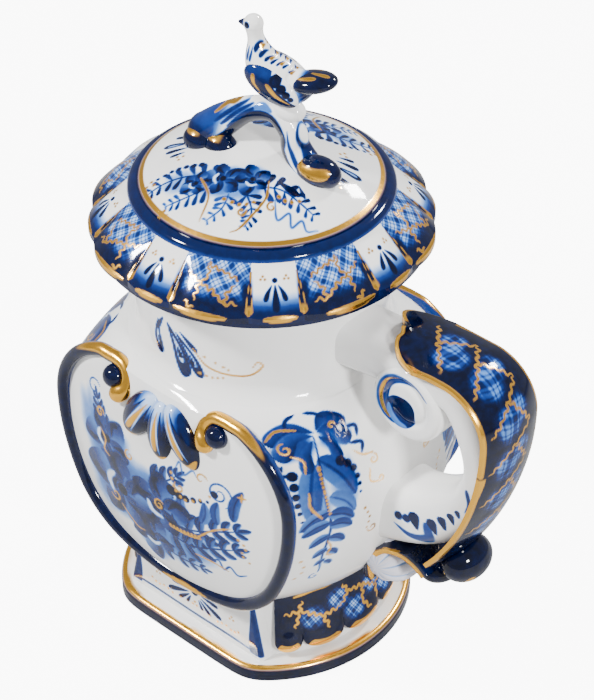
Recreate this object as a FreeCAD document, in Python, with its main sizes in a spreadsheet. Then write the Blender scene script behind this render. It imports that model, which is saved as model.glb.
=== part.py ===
import FreeCAD, Part
import math
import os
import Sketcher

# Porcelain teapot with a lift-off lid. Millimetres, +Z up, origin under the middle of the foot.
# The handle points to +X, the spout to -X, and the painted cartouches face -Y and +Y.

SIZES = {
    # Foot plate and pedestal
    "foot_radius": 57.8,
    "foot_half_depth": 48.2,
    "foot_height": 6.8,
    "foot_corner_round": 6.0,
    "foot_edge_round": 2.2,
    "pedestal_radius": 49.5,
    "pedestal_half_depth": 41.0,
    "pedestal_height": 28.0,
    "pedestal_taper": 7.0,
    "slab_half_width": 35.2,
    "slab_top_half_width": 28.6,
    "slab_depth": 8.0,
    "apron_radius": 51.0,
    "apron_gap": 5.0,
    "apron_main_lobe": 23.0,
    "apron_next_lobe": 20.0,
    "apron_end_lobe": 12.5,
    "apron_lobe_swell": 1.8,
    "apron_lobe_drop": 5.6,
    # Vessel
    "wall": 4.0,
    "base_radius": 46.0,
    "belly_radius": 70.5,
    "belly_rise": 53.2,
    "shoulder_rise": 43.0,
    "shoulder_radius": 50.0,
    "neck_fillet": 7.0,
    "neck_radius": 46.5,
    "neck_rise": 33.0,
    "flange_radius": 60.5,
    "flange_rise": 10.2,
    "flange_edge": 2.3,
    "flat_depth": 49.5,
    "panel_bulge": 7.5,
    "panel_curve": 200.0,
    # Cartouche frame and shell
    "frame_half_width": 57.0,
    "frame_rise": 59.7,
    "frame_lobe_rise": 31.8,
    "frame_lobe_inset": 23.0,
    "frame_sag": 3.9,
    "frame_sag_half": 27.0,
    "frame_side_run": 33.0,
    "frame_side_lean": 6.7,
    "frame_corner_curve": 37.0,
    "frame_clearance": 2.0,
    "frame_rib": 2.7,
    "frame_elbow": 3.1,
    "frame_curl_run": 8.5,
    "frame_curl": 6.5,
    "frame_curl_turn": 55.0,
    "frame_curl_tilt": 24.0,
    "frame_ball": 4.6,
    "shell_lobe_length": 27.0,
    "shell_lobe_width": 14.0,
    "shell_lobe_depth": 11.0,
    "shell_fan": 31.0,
    "shell_drop": 3.5,
    # Handle
    "handle_reach": 117.5,
    "handle_height": 164.3,
    "handle_bend": 22.5,
    "handle_end_x": 94.5,
    "handle_end_z": 72.3,
    "strap_half_width": 15.0,
    "strap_thickness": 5.0,
    "strap_edge": 1.6,
    "leaf_reach": 61.0,
    "leaf_lobe": 9.0,
    "leaf_notch": 7.0,
    "core_width": 24.0,
    "core_thickness": 8.0,
    "core_round": 3.0,
    "volute_x": 78.0,
    "volute_z": 141.0,
    "volute_radius": 15.0,
    "volute_width": 26.0,
    "volute_round": 2.5,
    "grip_low_z": 93.5,
    "grip_lean": 12.0,
    "root_back": 7.5,
    "root_drop": 12.0,
    "scroll_x": 78.0,
    "scroll_z": 54.5,
    "scroll_radius": 17.5,
    "scroll_band": 4.0,
    "scroll_width": 24.0,
    "flute_width": 9.0,
    "flute_pitch": 5.6,
    "flute_depth": 11.5,
    "flute_half_height": 12.8,
    "flute_back": 10.1,
    "flute_lift": 2.7,
    "knob_x": 98.5,
    "knob_z": 73.5,
    "knob_radius": 8.6,
    "knob_width": 22.0,
    "knob_tip_depth": 7.3,
    "knob_tip_width": 19.8,
    "knob_tip_height": 5.3,
    "knob_tip_back": 10.5,
    "knob_tip_drop": 10.0,
    # Spout and strainer
    "spout_root_x": 51.0,
    "spout_root_z": 117.0,
    "spout_root_radius": 12.5,
    "spout_mid_x": 64.0,
    "spout_mid_z": 137.0,
    "spout_mid_radius": 9.2,
    "spout_tip_x": 71.0,
    "spout_tip_z": 157.0,
    "spout_tip_radius": 7.0,
    "spout_wall": 2.6,
    "strainer_hole": 3.6,
    "strainer_pitch": 5.4,
    # Lid
    "skirt_valley": 60.8,
    "skirt_wide_lobe": 62.7,
    "skirt_narrow_lobe": 62.0,
    "skirt_wide_angle": 27.0,
    "skirt_turn": 24.5,
    "skirt_wide_curve": 37.7,
    "skirt_narrow_curve": 18.9,
    "skirt_rim": 2.4,
    "skirt_rise": 13.1,
    "skirt_top_radius": 47.6,
    "skirt_seat": 8.5,
    "skirt_shell": 4.5,
    "bead_width": 3.8,
    "bead_height": 2.9,
    "bead_curve": 3.3,
    "dome_edge": 3.4,
    "dome_rise": 13.2,
    "dome_wall": 4.0,
    "collar_drop": 15.0,
    "collar_wall": 3.2,
    "collar_clearance": 0.8,
    # Finial
    "finial_turn": 14.5,
    "toe_run": -21.0,
    "toe_rise": -1.0,
    "toe_girth": 6.4,
    "arm_run": -14.0,
    "arm_rise": 6.3,
    "arm_girth": 5.6,
    "bough_run": -4.5,
    "bough_rise": 13.2,
    "bough_girth": 4.4,
    "perch_run": 5.5,
    "perch_rise": 15.3,
    "perch_girth": 4.3,
    "leg_run": 12.2,
    "leg_rise": 9.0,
    "leg_girth": 4.8,
    "shin_run": 13.2,
    "shin_rise": 2.0,
    "shin_girth": 5.0,
    "foot_run": 18.0,
    "foot_rise": -3.2,
    "foot_girth": 5.0,
    "toe_tip": 5.3,
    "toe_length": 7.0,
    "toe_near_run": -18.0,
    "toe_near_side": -6.0,
    "toe_far_run": -24.5,
    "toe_far_side": 2.0,
    "toe_tip_drop": 2.6,
    "heel_run": 24.0,
    "heel_side": -4.0,
    "heel_drop": 1.6,
    "heel_length": 8.5,
    "heel_height": 5.6,
    "saddle_run": 10.5,
    "saddle_rise": 17.2,
    "saddle_length": 6.5,
    "saddle_height": 4.4,
    "bird_run": 5.2,
    "bird_rise": 29.6,
    "bird_girth": 7.9,
    "rump_run": 12.5,
    "rump_rise": 27.8,
    "rump_girth": 7.0,
    "tail_run": 19.5,
    "tail_rise": 31.0,
    "tail_girth": 3.6,
    "breast_run": 0.4,
    "breast_rise": 34.6,
    "breast_girth": 6.1,
    "nape_run": -1.7,
    "nape_rise": 42.2,
    "nape_girth": 3.2,
    "head_run": -2.6,
    "head_rise": 47.6,
    "head_girth": 3.5,
    "crown_radius": 4.0,
    "beak_root": 2.0,
    "beak_tip": 0.6,
    "beak_length": 5.6,
    "tail_length": 17.0,
    "tail_width": 12.0,
    "tail_thickness": 4.6,
    "tail_tilt": 20.0,
    "wing_run": 8.0,
    "wing_rise": 28.6,
    "wing_length": 20.0,
    "wing_depth": 10.0,
    "wing_thickness": 4.0,
    "wing_side": 6.3,
    "wing_tilt": -14.0,
}

# Petals and lobes that repeat round the lid, and bores in the strainer.
SKIRT_PAIRS = 8
STRAINER_RING = 6
FLUTES = 4
FULL_TURN = 360.0

ORIGIN = FreeCAD.Vector(0, 0, 0)
AXIS_X = FreeCAD.Vector(1, 0, 0)
AXIS_Y = FreeCAD.Vector(0, 1, 0)
AXIS_Z = FreeCAD.Vector(0, 0, 1)

doc = FreeCAD.newDocument("teapot")
sheet = doc.addObject("Spreadsheet::Sheet", "sizes")
for row, (alias, value) in enumerate(SIZES.items(), start=1):
    sheet.set("A%d" % row, alias)
    sheet.set("B%d" % row, str(value))
    sheet.setAlias("B%d" % row, alias)
doc.recompute()


class Dim:
    """A length or angle: its value now, and the expression that binds it to the sheet."""

    def __init__(self, value, text):
        self.value = value
        self.text = text

    def __add__(self, other):
        other = as_dim(other)
        return Dim(self.value + other.value, "(%s + %s)" % (self.text, other.text))

    def __sub__(self, other):
        other = as_dim(other)
        return Dim(self.value - other.value, "(%s - %s)" % (self.text, other.text))

    def __mul__(self, other):
        other = as_dim(other)
        return Dim(self.value * other.value, "(%s * %s)" % (self.text, other.text))

    def __truediv__(self, other):
        other = as_dim(other)
        return Dim(self.value / other.value, "(%s / %s)" % (self.text, other.text))

    def __neg__(self):
        return Dim(-self.value, "(0 - %s)" % self.text)

    __radd__ = __add__
    __rmul__ = __mul__

    def __rsub__(self, other):
        return as_dim(other) - self


def as_dim(value):
    """Return value as a Dim, so plain numbers and sheet sizes mix in one sum."""
    if isinstance(value, Dim):
        return value
    return Dim(float(value), "(%.9f)" % value)


def size(alias):
    """Return the sheet size with this alias."""
    return Dim(float(sheet.get(alias)), "sizes.%s" % alias)


def square_root(dim):
    """Return the square root of a Dim."""
    return Dim(math.sqrt(dim.value), "sqrt(%s)" % dim.text)


def cosine(dim):
    """Return the cosine of a Dim that holds degrees."""
    return Dim(math.cos(math.radians(dim.value)), "cos(%s * 1 deg)" % dim.text)


def sine(dim):
    """Return the sine of a Dim that holds degrees."""
    return Dim(math.sin(math.radians(dim.value)), "sin(%s * 1 deg)" % dim.text)


def bind(target, path, dim):
    """Keep one property of an object equal to a Dim."""
    target.setExpression(path, as_dim(dim).text)


NOUGHT = as_dim(0)
foot_top = size("foot_height")
base_z = foot_top + size("pedestal_height")
belly_z = base_z + size("belly_rise")
shoulder_z = belly_z + size("shoulder_rise")
flare_z = shoulder_z + size("neck_rise")
rim_z = flare_z + size("flange_rise") + size("flange_edge")
mouth_radius = size("neck_radius") - size("wall")
frame_low_z = base_z + size("frame_clearance")
frame_wide_z = frame_low_z + size("frame_rise")
frame_top_z = frame_wide_z + size("frame_lobe_rise")
frame_top_x = size("frame_half_width") - size("frame_lobe_inset")
skirt_top_z = rim_z + size("skirt_rim") + size("skirt_rise")
dome_radius = size("skirt_top_radius") - size("bead_width")
dome_edge_z = skirt_top_z + size("dome_edge")
dome_top_z = dome_edge_z + size("dome_rise")


def new_body(name):
    """Add an empty body."""
    body = doc.addObject("PartDesign::Body", name)
    body.Label = name
    return body


def new_sketch(body, name, role, offset=None):
    """Add a sketch on one of the body's own planes, moved along that plane's normal."""
    sketch = body.newObject("Sketcher::SketchObject", name)
    sketch.AttachmentSupport = (origin_feature(body, role), [""])
    sketch.MapMode = "FlatFace"
    if offset is not None:
        bind(sketch, "AttachmentOffset.Base.z", offset)
    return sketch


def pin(sketch, geo, pos, axis, dim):
    """Hold one coordinate of a sketch point at a Dim measured from the sketch's origin."""
    if dim.value == 0.0:
        rail = -2 if axis == "X" else -1
        sketch.addConstraint(Sketcher.Constraint("PointOnObject", geo, pos, rail))
        return
    index = sketch.addConstraint(Sketcher.Constraint("Distance" + axis, -1, 1, geo, pos, dim.value))
    bind(sketch, "Constraints[%d]" % index, dim)


def arc_centre(start, end, link):
    """Return the centre of the arc from start to end that a link asks for."""
    kind, dim = link[0], link[1]
    (px, py), (qx, qy) = start, end
    if kind == "centre":
        return dim.value, link[2].value
    if kind == "level":
        cy = dim.value
        cx = (px * px - qx * qx + (py - cy) ** 2 - (qy - cy) ** 2) / (2.0 * (px - qx))
        return cx, cy
    if kind == "plumb":
        cx = dim.value
        cy = (py * py - qy * qy + (px - cx) ** 2 - (qx - cx) ** 2) / (2.0 * (py - qy))
        return cx, cy
    half = math.hypot(qx - px, qy - py) / 2.0
    height = math.sqrt(max(dim.value ** 2 - half ** 2, 0.0)) * link[2]
    nx, ny = -(qy - py) / (2.0 * half), (qx - px) / (2.0 * half)
    return (px + qx) / 2.0 + nx * height, (py + qy) / 2.0 + ny * height


def draw(sketch, points, links, closed=True, free=()):
    """Draw an outline of lines and arcs, fully bound to the sheet.

    Each point is a pair of Dims. Link i runs from point i to the next: None is a line,
    ("level", Dim) an arc whose centre has that height, ("plumb", Dim) one whose centre has
    that x, ("centre", Dim, Dim) one round that centre, and ("radius", Dim, side) one of that
    radius with its centre left (1) or right (-1). Points in free are left to the arcs beside
    them, which meet in a tangent there.
    """
    flat = [(x.value, y.value) for x, y in points]
    count = len(links)
    ends = []
    for index, link in enumerate(links):
        start = flat[index]
        end = flat[(index + 1) % len(flat)]
        if link is None:
            line = Part.LineSegment(FreeCAD.Vector(*start, 0), FreeCAD.Vector(*end, 0))
            ends.append((sketch.addGeometry(line), 1, 2))
            continue
        cx, cy = arc_centre(start, end, link)
        anchor = end if index in free else start
        radius = math.hypot(anchor[0] - cx, anchor[1] - cy)
        sense = (start[0] - cx) * (end[1] - cy) - (start[1] - cy) * (end[0] - cx)
        first, last = (start, end) if sense > 0 else (end, start)
        begin = math.atan2(first[1] - cy, first[0] - cx)
        finish = math.atan2(last[1] - cy, last[0] - cx)
        if finish < begin:
            finish += 2.0 * math.pi
        circle = Part.Circle(FreeCAD.Vector(cx, cy, 0), AXIS_Z, radius)
        geo = sketch.addGeometry(Part.ArcOfCircle(circle, begin, finish))
        ends.append((geo, 1, 2) if sense > 0 else (geo, 2, 1))
        if link[0] == "radius":
            rule = sketch.addConstraint(Sketcher.Constraint("Radius", geo, radius))
            bind(sketch, "Constraints[%d]" % rule, link[1])
        elif link[0] == "centre":
            pin(sketch, geo, 3, "X", link[1])
            pin(sketch, geo, 3, "Y", link[2])
        else:
            pin(sketch, geo, 3, "Y" if link[0] == "level" else "X", link[1])
    for index in range(count if closed else count - 1):
        geo, _, tail = ends[index]
        after, head, _ = ends[(index + 1) % count]
        kind = "Tangent" if (index + 1) in free else "Coincident"
        sketch.addConstraint(Sketcher.Constraint(kind, geo, tail, after, head))
    for index, (x, y) in enumerate(points):
        if index in free:
            continue
        geo, head, tail = ends[min(index, count - 1)]
        pos = head if index < count else tail
        pin(sketch, geo, pos, "X", x)
        pin(sketch, geo, pos, "Y", y)


def draw_circle(sketch, x, y, radius):
    """Draw one circle, bound to the sheet."""
    centre = FreeCAD.Vector(x.value, y.value, 0)
    geo = sketch.addGeometry(Part.Circle(centre, AXIS_Z, radius.value))
    pin(sketch, geo, 3, "X", x)
    pin(sketch, geo, 3, "Y", y)
    rule = sketch.addConstraint(Sketcher.Constraint("Radius", geo, radius.value))
    bind(sketch, "Constraints[%d]" % rule, radius)


def pad(body, name, sketch, length, reverse=False, midplane=False):
    """Extrude a sketch along its normal."""
    feature = body.newObject("PartDesign::Pad", name)
    feature.Profile = sketch
    bind(feature, "Length", length)
    feature.Reversed = reverse
    feature.Midplane = midplane
    return feature


def turn(body, name, sketch, axis="V_Axis", kind="Revolution", angle=None):
    """Revolve a sketch, to add (Revolution) or remove (Groove), all round unless angle is given."""
    feature = body.newObject("PartDesign::" + kind, name)
    feature.Profile = sketch
    feature.ReferenceAxis = (sketch, [axis])
    if angle is None:
        feature.Angle = FULL_TURN
    else:
        bind(feature, "Angle", angle)
        feature.Midplane = True
    return feature


def loft(body, name, sections, kind="Additive"):
    """Blend smoothly through a row of sketches."""
    feature = body.newObject("PartDesign::%sLoft" % kind, name)
    feature.Profile = sections[0]
    feature.Sections = sections[1:]
    feature.Ruled = False
    return feature


def sweep(body, name, section, path):
    """Carry a section along a path."""
    feature = body.newObject("PartDesign::AdditivePipe", name)
    feature.Profile = section
    feature.Spine = path
    return feature


def mirrored(body, feature):
    """Repeat a feature on the other side of the body's YZ plane."""
    mirror = body.newObject("PartDesign::Mirrored", feature.Name + "_mirror")
    mirror.Originals = [feature]
    mirror.MirrorPlane = (origin_feature(body, "YZ_Plane"), [""])
    body.Tip = mirror


def origin_feature(body, role):
    """Return one of a body's own planes or axes."""
    return next(f for f in body.Origin.OriginFeatures if f.Role == role)


def ring_edges(feature, test):
    """Name the edges of a feature whose shape passes a test."""
    doc.recompute()
    return ["Edge%d" % (i + 1) for i, edge in enumerate(feature.Shape.Edges) if test(edge)]


def fillet(body, name, feature, edges, radius):
    """Round some edges of a feature."""
    rounded = body.newObject("PartDesign::Fillet", name)
    rounded.Base = (feature, edges)
    bind(rounded, "Radius", radius)
    return rounded


def cut(name, base, *tools):
    """Return base with the tools taken away, one after another, so the pieces meet face to face."""
    result = base
    for index, tool in enumerate(tools):
        step = doc.addObject("Part::Cut", "%s_cut%d" % (name, index))
        step.Base = result
        step.Tool = tool
        result = step
    result.Label = name
    return result


def fuse(name, *shapes):
    """Join shapes that are one piece of clay."""
    joined = doc.addObject("Part::MultiFuse", name)
    joined.Shapes = list(shapes)
    return joined


def place(target, x, y, z, axis=AXIS_Z, angle=None):
    """Bind where a primitive stands, and how far it is turned about an axis."""
    bind(target, "Placement.Base.x", x)
    bind(target, "Placement.Base.y", y)
    bind(target, "Placement.Base.z", z)
    if angle is not None:
        target.Placement.Rotation = FreeCAD.Rotation(axis, as_dim(angle).value or 1.0)
        bind(target, "Placement.Rotation.Angle", angle)


def sphere(name, radius, x, y, z):
    """Add a ball."""
    ball = doc.addObject("Part::Sphere", name)
    bind(ball, "Radius", radius)
    place(ball, x, y, z)
    return ball


def ellipsoid(name, radii, centre, axis=AXIS_Z, angle=None):
    """Add an ellipsoid with half axes along x, y and z, turned about an axis."""
    egg = doc.addObject("Part::Ellipsoid", name)
    bind(egg, "Radius2", radii[0])
    bind(egg, "Radius3", radii[1])
    bind(egg, "Radius1", radii[2])
    place(egg, *centre, axis, angle)
    return egg


# Foot plate and pedestal: a disc with its front and back cut flat, and a tapered drum on it

def flatted_disc(sketch, radius, half_depth):
    """Draw a disc cut by two flats."""
    corner = square_root(radius * radius - half_depth * half_depth)
    points = [(corner, -half_depth), (corner, half_depth), (-corner, half_depth), (-corner, -half_depth)]
    draw(sketch, points, [("plumb", NOUGHT), None, ("plumb", NOUGHT), None])


def make_foot():
    """Return the foot plate, rounded at its four corners and along its upper edge."""
    body = new_body("foot_plate")
    sketch = new_sketch(body, "foot_outline", "XY_Plane")
    flatted_disc(sketch, size("foot_radius"), size("foot_half_depth"))
    plate = pad(body, "foot_pad", sketch, size("foot_height"))
    corners = ring_edges(plate, lambda e: abs(e.tangentAt(e.FirstParameter).z) > 0.99)
    eased = fillet(body, "foot_corners", plate, corners, size("foot_corner_round"))
    top = size("foot_height").value
    upper = ring_edges(eased, lambda e: abs(e.BoundBox.ZMin - top) < 0.01)
    fillet(body, "foot_upper_edge", eased, upper, size("foot_edge_round"))
    return body


def make_pedestal(vessel):
    """Return the tapered drum between foot and vessel, with a slab front and back that flares to its foot."""
    body = new_body("pedestal_drum")
    sketch = new_sketch(body, "pedestal_outline", "XY_Plane", foot_top)
    flatted_disc(sketch, size("pedestal_radius"), size("pedestal_half_depth"))
    tall = size("pedestal_height") + size("frame_rise") / 6
    drum = pad(body, "pedestal_pad", sketch, tall)
    bind(drum, "TaperAngle", -size("pedestal_taper"))
    wide = size("slab_half_width")
    slim = size("slab_top_half_width")
    top = foot_top + tall
    for side, name in ((-1, "front_slab"), (1, "back_slab")):
        outline = new_sketch(body, name + "_outline", "XZ_Plane", -size("pedestal_half_depth") * side)
        draw(outline, [(-wide, foot_top), (wide, foot_top), (slim, top), (-slim, top)], [None, None, None, None])
        pad(body, name, outline, size("slab_depth"), reverse=side < 0)
    return cut("pedestal", body, vessel)


def make_apron(name, side, vessel, drum):
    """Return the swagged apron on one round side of the pedestal, with its five puffed lobes."""
    body = new_body(name + "_wrap")
    sketch = new_sketch(body, name + "_profile", "XZ_Plane")
    low = foot_top + size("apron_gap")
    inner = size("pedestal_radius") - size("wall") * 3
    top = base_z + size("frame_clearance")
    outer = size("apron_radius")
    upper = size("base_radius")
    points = [(inner * side, low), (outer * side, low), (upper * side, top), (inner * side, top)]
    draw(sketch, points, [None, ("level", low + size("apron_gap")), None, None])
    whole = size("apron_main_lobe") + size("apron_next_lobe") * 2 + size("apron_end_lobe") * 2
    turn(body, name + "_turn", sketch, angle=whole)
    lobes = []
    centre = NOUGHT
    widths = [size("apron_main_lobe"), size("apron_next_lobe"), size("apron_end_lobe")]
    for step, width in enumerate(widths):
        centre = centre + (widths[step - 1] + width) / 2 if step else centre
        half = outer * sine(width / 2)
        for hand in (1, -1) if step else (1,):
            angle = centre * hand
            reach = outer - size("apron_lobe_drop")
            egg = ellipsoid(
                "%s_lobe%d%s" % (name, step, "a" if hand > 0 else "b"),
                (size("apron_lobe_drop") + size("apron_lobe_swell"), half, size("apron_lobe_drop")),
                (reach * cosine(angle) * side, reach * sine(angle) * side, low + size("apron_lobe_swell")),
                AXIS_Z, angle if step else None)
            lobes.append(egg)
    return cut(name, fuse(name + "_whole", body, *lobes), vessel, drum)


# Vessel: a lofted belly with domed flats front and back, a turned neck and a flange

def cartouche(sketch, inset, closed):
    """Draw the cartouche outline, or the right half of its rib's path when not closed.

    It runs up the right side from the middle of the bottom: a shallow bottom arc, a rounded
    corner, a long side and a lobe at the top. All its arcs meet in tangents.
    """
    wide = size("frame_half_width") - inset
    top = (frame_top_x - inset, frame_top_z - inset)
    low = frame_low_z + inset
    sag_half = size("frame_sag_half")
    sag = size("frame_sag")
    bottom_curve = (sag_half * sag_half + sag * sag) / (sag * 2)
    run = size("frame_side_run")
    lean = size("frame_side_lean")
    side_curve = (run * run + lean * lean) / (lean * 2)
    corner_a = (sag_half - inset, low + sag)
    corner_b = (wide - lean, frame_wide_z - run)
    bottom = ("centre", NOUGHT, low + bottom_curve)
    corner = ("radius", size("frame_corner_curve") - inset, 1)
    side = ("centre", wide - side_curve, frame_wide_z)
    far_side = ("centre", side_curve - wide, frame_wide_z)
    lobe = ("level", frame_wide_z)
    if closed:
        points = [top, (-top[0], top[1]), (-wide, frame_wide_z), (-corner_b[0], corner_b[1]),
                  (-corner_a[0], corner_a[1]), (NOUGHT, low), corner_a, corner_b, (wide, frame_wide_z)]
        links = [None, lobe, far_side, corner, bottom, bottom, corner, side, lobe]
        draw(sketch, points, links, free=(3, 4, 6, 7))
        return
    points = [(NOUGHT, low), corner_a, corner_b, (wide, frame_wide_z), top]
    draw(sketch, points, [bottom, corner, side, lobe], closed=False, free=(1, 2))


def belly_outline(sketch, inset):
    """Draw the side view of the belly: foot, swelling and shoulder, with arcs level at the belly."""
    low = (size("base_radius") - inset, base_z + inset)
    wide = size("belly_radius") - inset
    top = (size("shoulder_radius") - inset, shoulder_z - inset)
    run = wide - low[0]
    rise = belly_z - low[1]
    curve = (run * run + rise * rise) / (run * 2)
    half = rise / 2
    middle = (wide - curve + square_root(curve * curve - half * half), belly_z - half)
    level = ("level", belly_z)
    points = [top, (-top[0], top[1]), (-wide, belly_z), (-middle[0], middle[1]), (-low[0], low[1]),
              (NOUGHT, low[1]), low, middle, (wide, belly_z)]
    draw(sketch, points, [None, level, level, level, None, None, level, level, level])


def dome_cutter(body, name, side, inset):
    """Shave the front or back of a body to the shallow ball that the painted panel follows."""
    sketch = new_sketch(body, name + "_profile", "YZ_Plane")
    crown = (size("flat_depth") + size("panel_bulge") - inset) * side
    curve = size("panel_curve") - inset
    reach = size("frame_half_width") + size("frame_clearance") * 2
    sag = (curve - square_root(curve * curve - reach * reach)) * side
    clear = crown + size("panel_bulge") * side * 3
    points = [(crown, belly_z), (crown - sag, belly_z + reach), (clear, belly_z + reach), (clear, belly_z)]
    draw(sketch, points, [("radius", curve, side), None, None, None])
    axis = sketch.addGeometry(Part.LineSegment(
        FreeCAD.Vector(crown.value, belly_z.value, 0), FreeCAD.Vector(clear.value, belly_z.value, 0)), True)
    pin(sketch, axis, 1, "X", crown)
    pin(sketch, axis, 1, "Y", belly_z)
    pin(sketch, axis, 2, "X", clear)
    pin(sketch, axis, 2, "Y", belly_z)
    turn(body, name, sketch, "Axis0", "Groove")


def make_vessel(name, inset, neck):
    """Return the belly and neck as one solid, drawn in by inset all round."""
    body = new_body(name)
    depth = size("flat_depth") - inset
    front = new_sketch(body, name + "_front", "XZ_Plane", depth)
    cartouche(front, inset, True)
    middle = new_sketch(body, name + "_middle", "XZ_Plane")
    belly_outline(middle, inset)
    back = new_sketch(body, name + "_back", "XZ_Plane", -depth)
    cartouche(back, inset, True)
    loft(body, name + "_belly", [front, middle, back])
    swell = size("panel_bulge") * 2
    pad(body, name + "_front_panel", front, swell)
    pad(body, name + "_back_panel", back, swell, reverse=True)
    dome_cutter(body, name + "_front_dome", -1, inset)
    dome_cutter(body, name + "_back_dome", 1, inset)
    profile = new_sketch(body, name + "_neck_profile", "XZ_Plane")
    neck(profile)
    turn(body, name + "_neck", profile)
    return body


def outer_neck(sketch):
    """Draw the neck: a collar on the shoulder, a straight throat and a flared flange."""
    root = shoulder_z - size("neck_fillet")
    crease = shoulder_z + size("neck_fillet")
    edge = rim_z - size("flange_edge")
    points = [(NOUGHT, root), (size("shoulder_radius"), root), (size("shoulder_radius"), shoulder_z),
              (size("neck_radius"), crease), (size("neck_radius"), flare_z), (size("flange_radius"), edge),
              (size("flange_radius"), rim_z), (NOUGHT, rim_z)]
    links = [None, None, ("level", crease), None, ("level", flare_z), None, None, None]
    draw(sketch, points, links)


def inner_neck(sketch):
    """Draw the throat that opens the vessel upward."""
    root = shoulder_z - size("neck_fillet") * 3
    points = [(NOUGHT, root), (mouth_radius, root), (mouth_radius, rim_z + size("wall")),
              (NOUGHT, rim_z + size("wall"))]
    draw(sketch, points, [None, None, None, None])


def leaning_sketch(body, name, x, z, lean, circles):
    """Add circles on a plane that stands square across a run leaning from +Z towards -X."""
    sketch = new_sketch(body, name, "XY_Plane")
    sketch.AttachmentOffset = FreeCAD.Placement(ORIGIN, FreeCAD.Rotation(AXIS_Y, -lean))
    bind(sketch, "AttachmentOffset.Base.x", x)
    bind(sketch, "AttachmentOffset.Base.z", z)
    for across, along, radius in circles:
        draw_circle(sketch, across, along, radius)
    return sketch


SPOUT_LEAN = {"root": 36.0, "mid": 26.0, "tip": 14.0}


def make_spout(vessel):
    """Return the hollow spout that rises from the shoulder, its root cut to the vessel."""
    body = new_body("spout_tube")
    for kind, drawn in (("Additive", NOUGHT), ("Subtractive", size("spout_wall"))):
        sections = []
        for stage, lean in SPOUT_LEAN.items():
            radius = size("spout_%s_radius" % stage) - drawn
            sections.append(leaning_sketch(
                body, "spout_%s_%s" % (stage, kind.lower()), -size("spout_%s_x" % stage),
                size("spout_%s_z" % stage), lean, [(NOUGHT, NOUGHT, radius)]))
        loft(body, "spout_" + kind.lower(), sections, kind)
    return cut("spout", body, vessel)


def make_strainer_punch():
    """Return the ring of rods that pierce the vessel's wall inside the spout's root."""
    body = new_body("strainer_punch")
    bore = size("strainer_hole") / 2
    holes = [(NOUGHT, NOUGHT, bore)]
    for index in range(STRAINER_RING):
        angle = math.radians(FULL_TURN * (index + 0.5) / STRAINER_RING)
        pitch = size("strainer_pitch")
        holes.append((pitch * math.cos(angle), pitch * math.sin(angle), bore))
    sketch = leaning_sketch(body, "strainer_layout", -size("spout_root_x"), size("spout_root_z"),
                            SPOUT_LEAN["root"], holes)
    pad(body, "strainer_rods", sketch, size("wall") * 10, midplane=True)
    return body


# Cartouche rib and shell

def make_frame(name, side, vessel):
    """Return the raised rib round one cartouche, with a curl and a ball at each of its two ends.

    The rib lies in one plane, and the curls lean forward from its top onto the domed panel.
    """
    body = new_body(name + "_rib")
    rib = size("frame_rib")
    depth = size("flat_depth") * side
    path = new_sketch(body, name + "_path", "XZ_Plane", -depth)
    cartouche(path, NOUGHT, False)
    section = new_sketch(body, name + "_section", "YZ_Plane")
    draw_circle(section, depth, frame_low_z, rib)
    mirrored(body, sweep(body, name + "_rim", section, path))
    hooks = new_body(name + "_hooks")
    curl = size("frame_curl")
    tilt = size("frame_curl_tilt")
    curl_path = new_sketch(hooks, name + "_curl_path", "XZ_Plane", -depth)
    curl_path.AttachmentOffset.Rotation = FreeCAD.Rotation(AXIS_X, tilt.value * side)
    bind(curl_path, "AttachmentOffset.Base.y", frame_top_z)
    turned = size("frame_curl_turn")
    bend_x = frame_top_x - size("frame_curl_run")
    end = (bend_x - curl * cosine(turned), -curl - curl * sine(turned))
    draw(curl_path, [(frame_top_x, NOUGHT), (bend_x, NOUGHT), end], [None, ("level", -curl)], closed=False)
    curl_section = new_sketch(hooks, name + "_curl_section", "YZ_Plane", frame_top_x)
    draw_circle(curl_section, depth, frame_top_z, rib)
    mirrored(hooks, sweep(hooks, name + "_hook", curl_section, curl_path))
    balls = []
    for hand, tag in ((1, "a"), (-1, "b")):
        balls.append(sphere(name + "_elbow_" + tag, size("frame_elbow"), frame_top_x * hand, depth, frame_top_z))
        balls.append(sphere(
            name + "_ball_" + tag, size("frame_ball"), bend_x * hand,
            depth + curl * sine(tilt) * side, frame_top_z - curl * cosine(tilt)))
    return cut(name, fuse(name + "_whole", body, hooks, *balls), vessel)


def make_shell(name, side, vessel, frame):
    """Return the three fanned lobes that hang between the curls of one cartouche."""
    lobes = []
    length = size("shell_lobe_length") / 2
    hub = frame_top_z - size("shell_drop") + length / 2
    for step in (-1, 0, 1):
        fan = size("shell_fan") * step
        lobes.append(ellipsoid(
            "%s_lobe%d" % (name, step + 1),
            (size("shell_lobe_width") / 2, size("shell_lobe_depth") / 2, length),
            (-(length + length / 2) * sine(fan), (size("flat_depth") + size("wall")) * side,
             hub - (length + length / 2) * cosine(fan)),
            AXIS_Y, fan if step else None))
    return cut(name, fuse(name + "_whole", *lobes), vessel, frame)


# Handle: a dark strap over a white core, an upper volute, and a scroll, shell and knob below

def ridge_run(offset):
    """Return the points and arcs of the strap's ridge, drawn in by offset."""
    reach = size("handle_reach") - offset
    top = size("handle_height") - offset
    bend_x = size("handle_reach") - size("handle_bend")
    bend_z = size("handle_height") - size("handle_bend")
    run = size("handle_reach") - size("handle_end_x")
    drop = bend_z - size("handle_end_z")
    curve = (run * run + drop * drop) / (run * 2)
    hub = size("handle_reach") - curve
    share = (curve - offset) / curve
    end = (hub + (size("handle_end_x") - hub) * share, bend_z - drop * share)
    return (bend_x, top), (reach, bend_z), end, ("level", bend_z)


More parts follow.
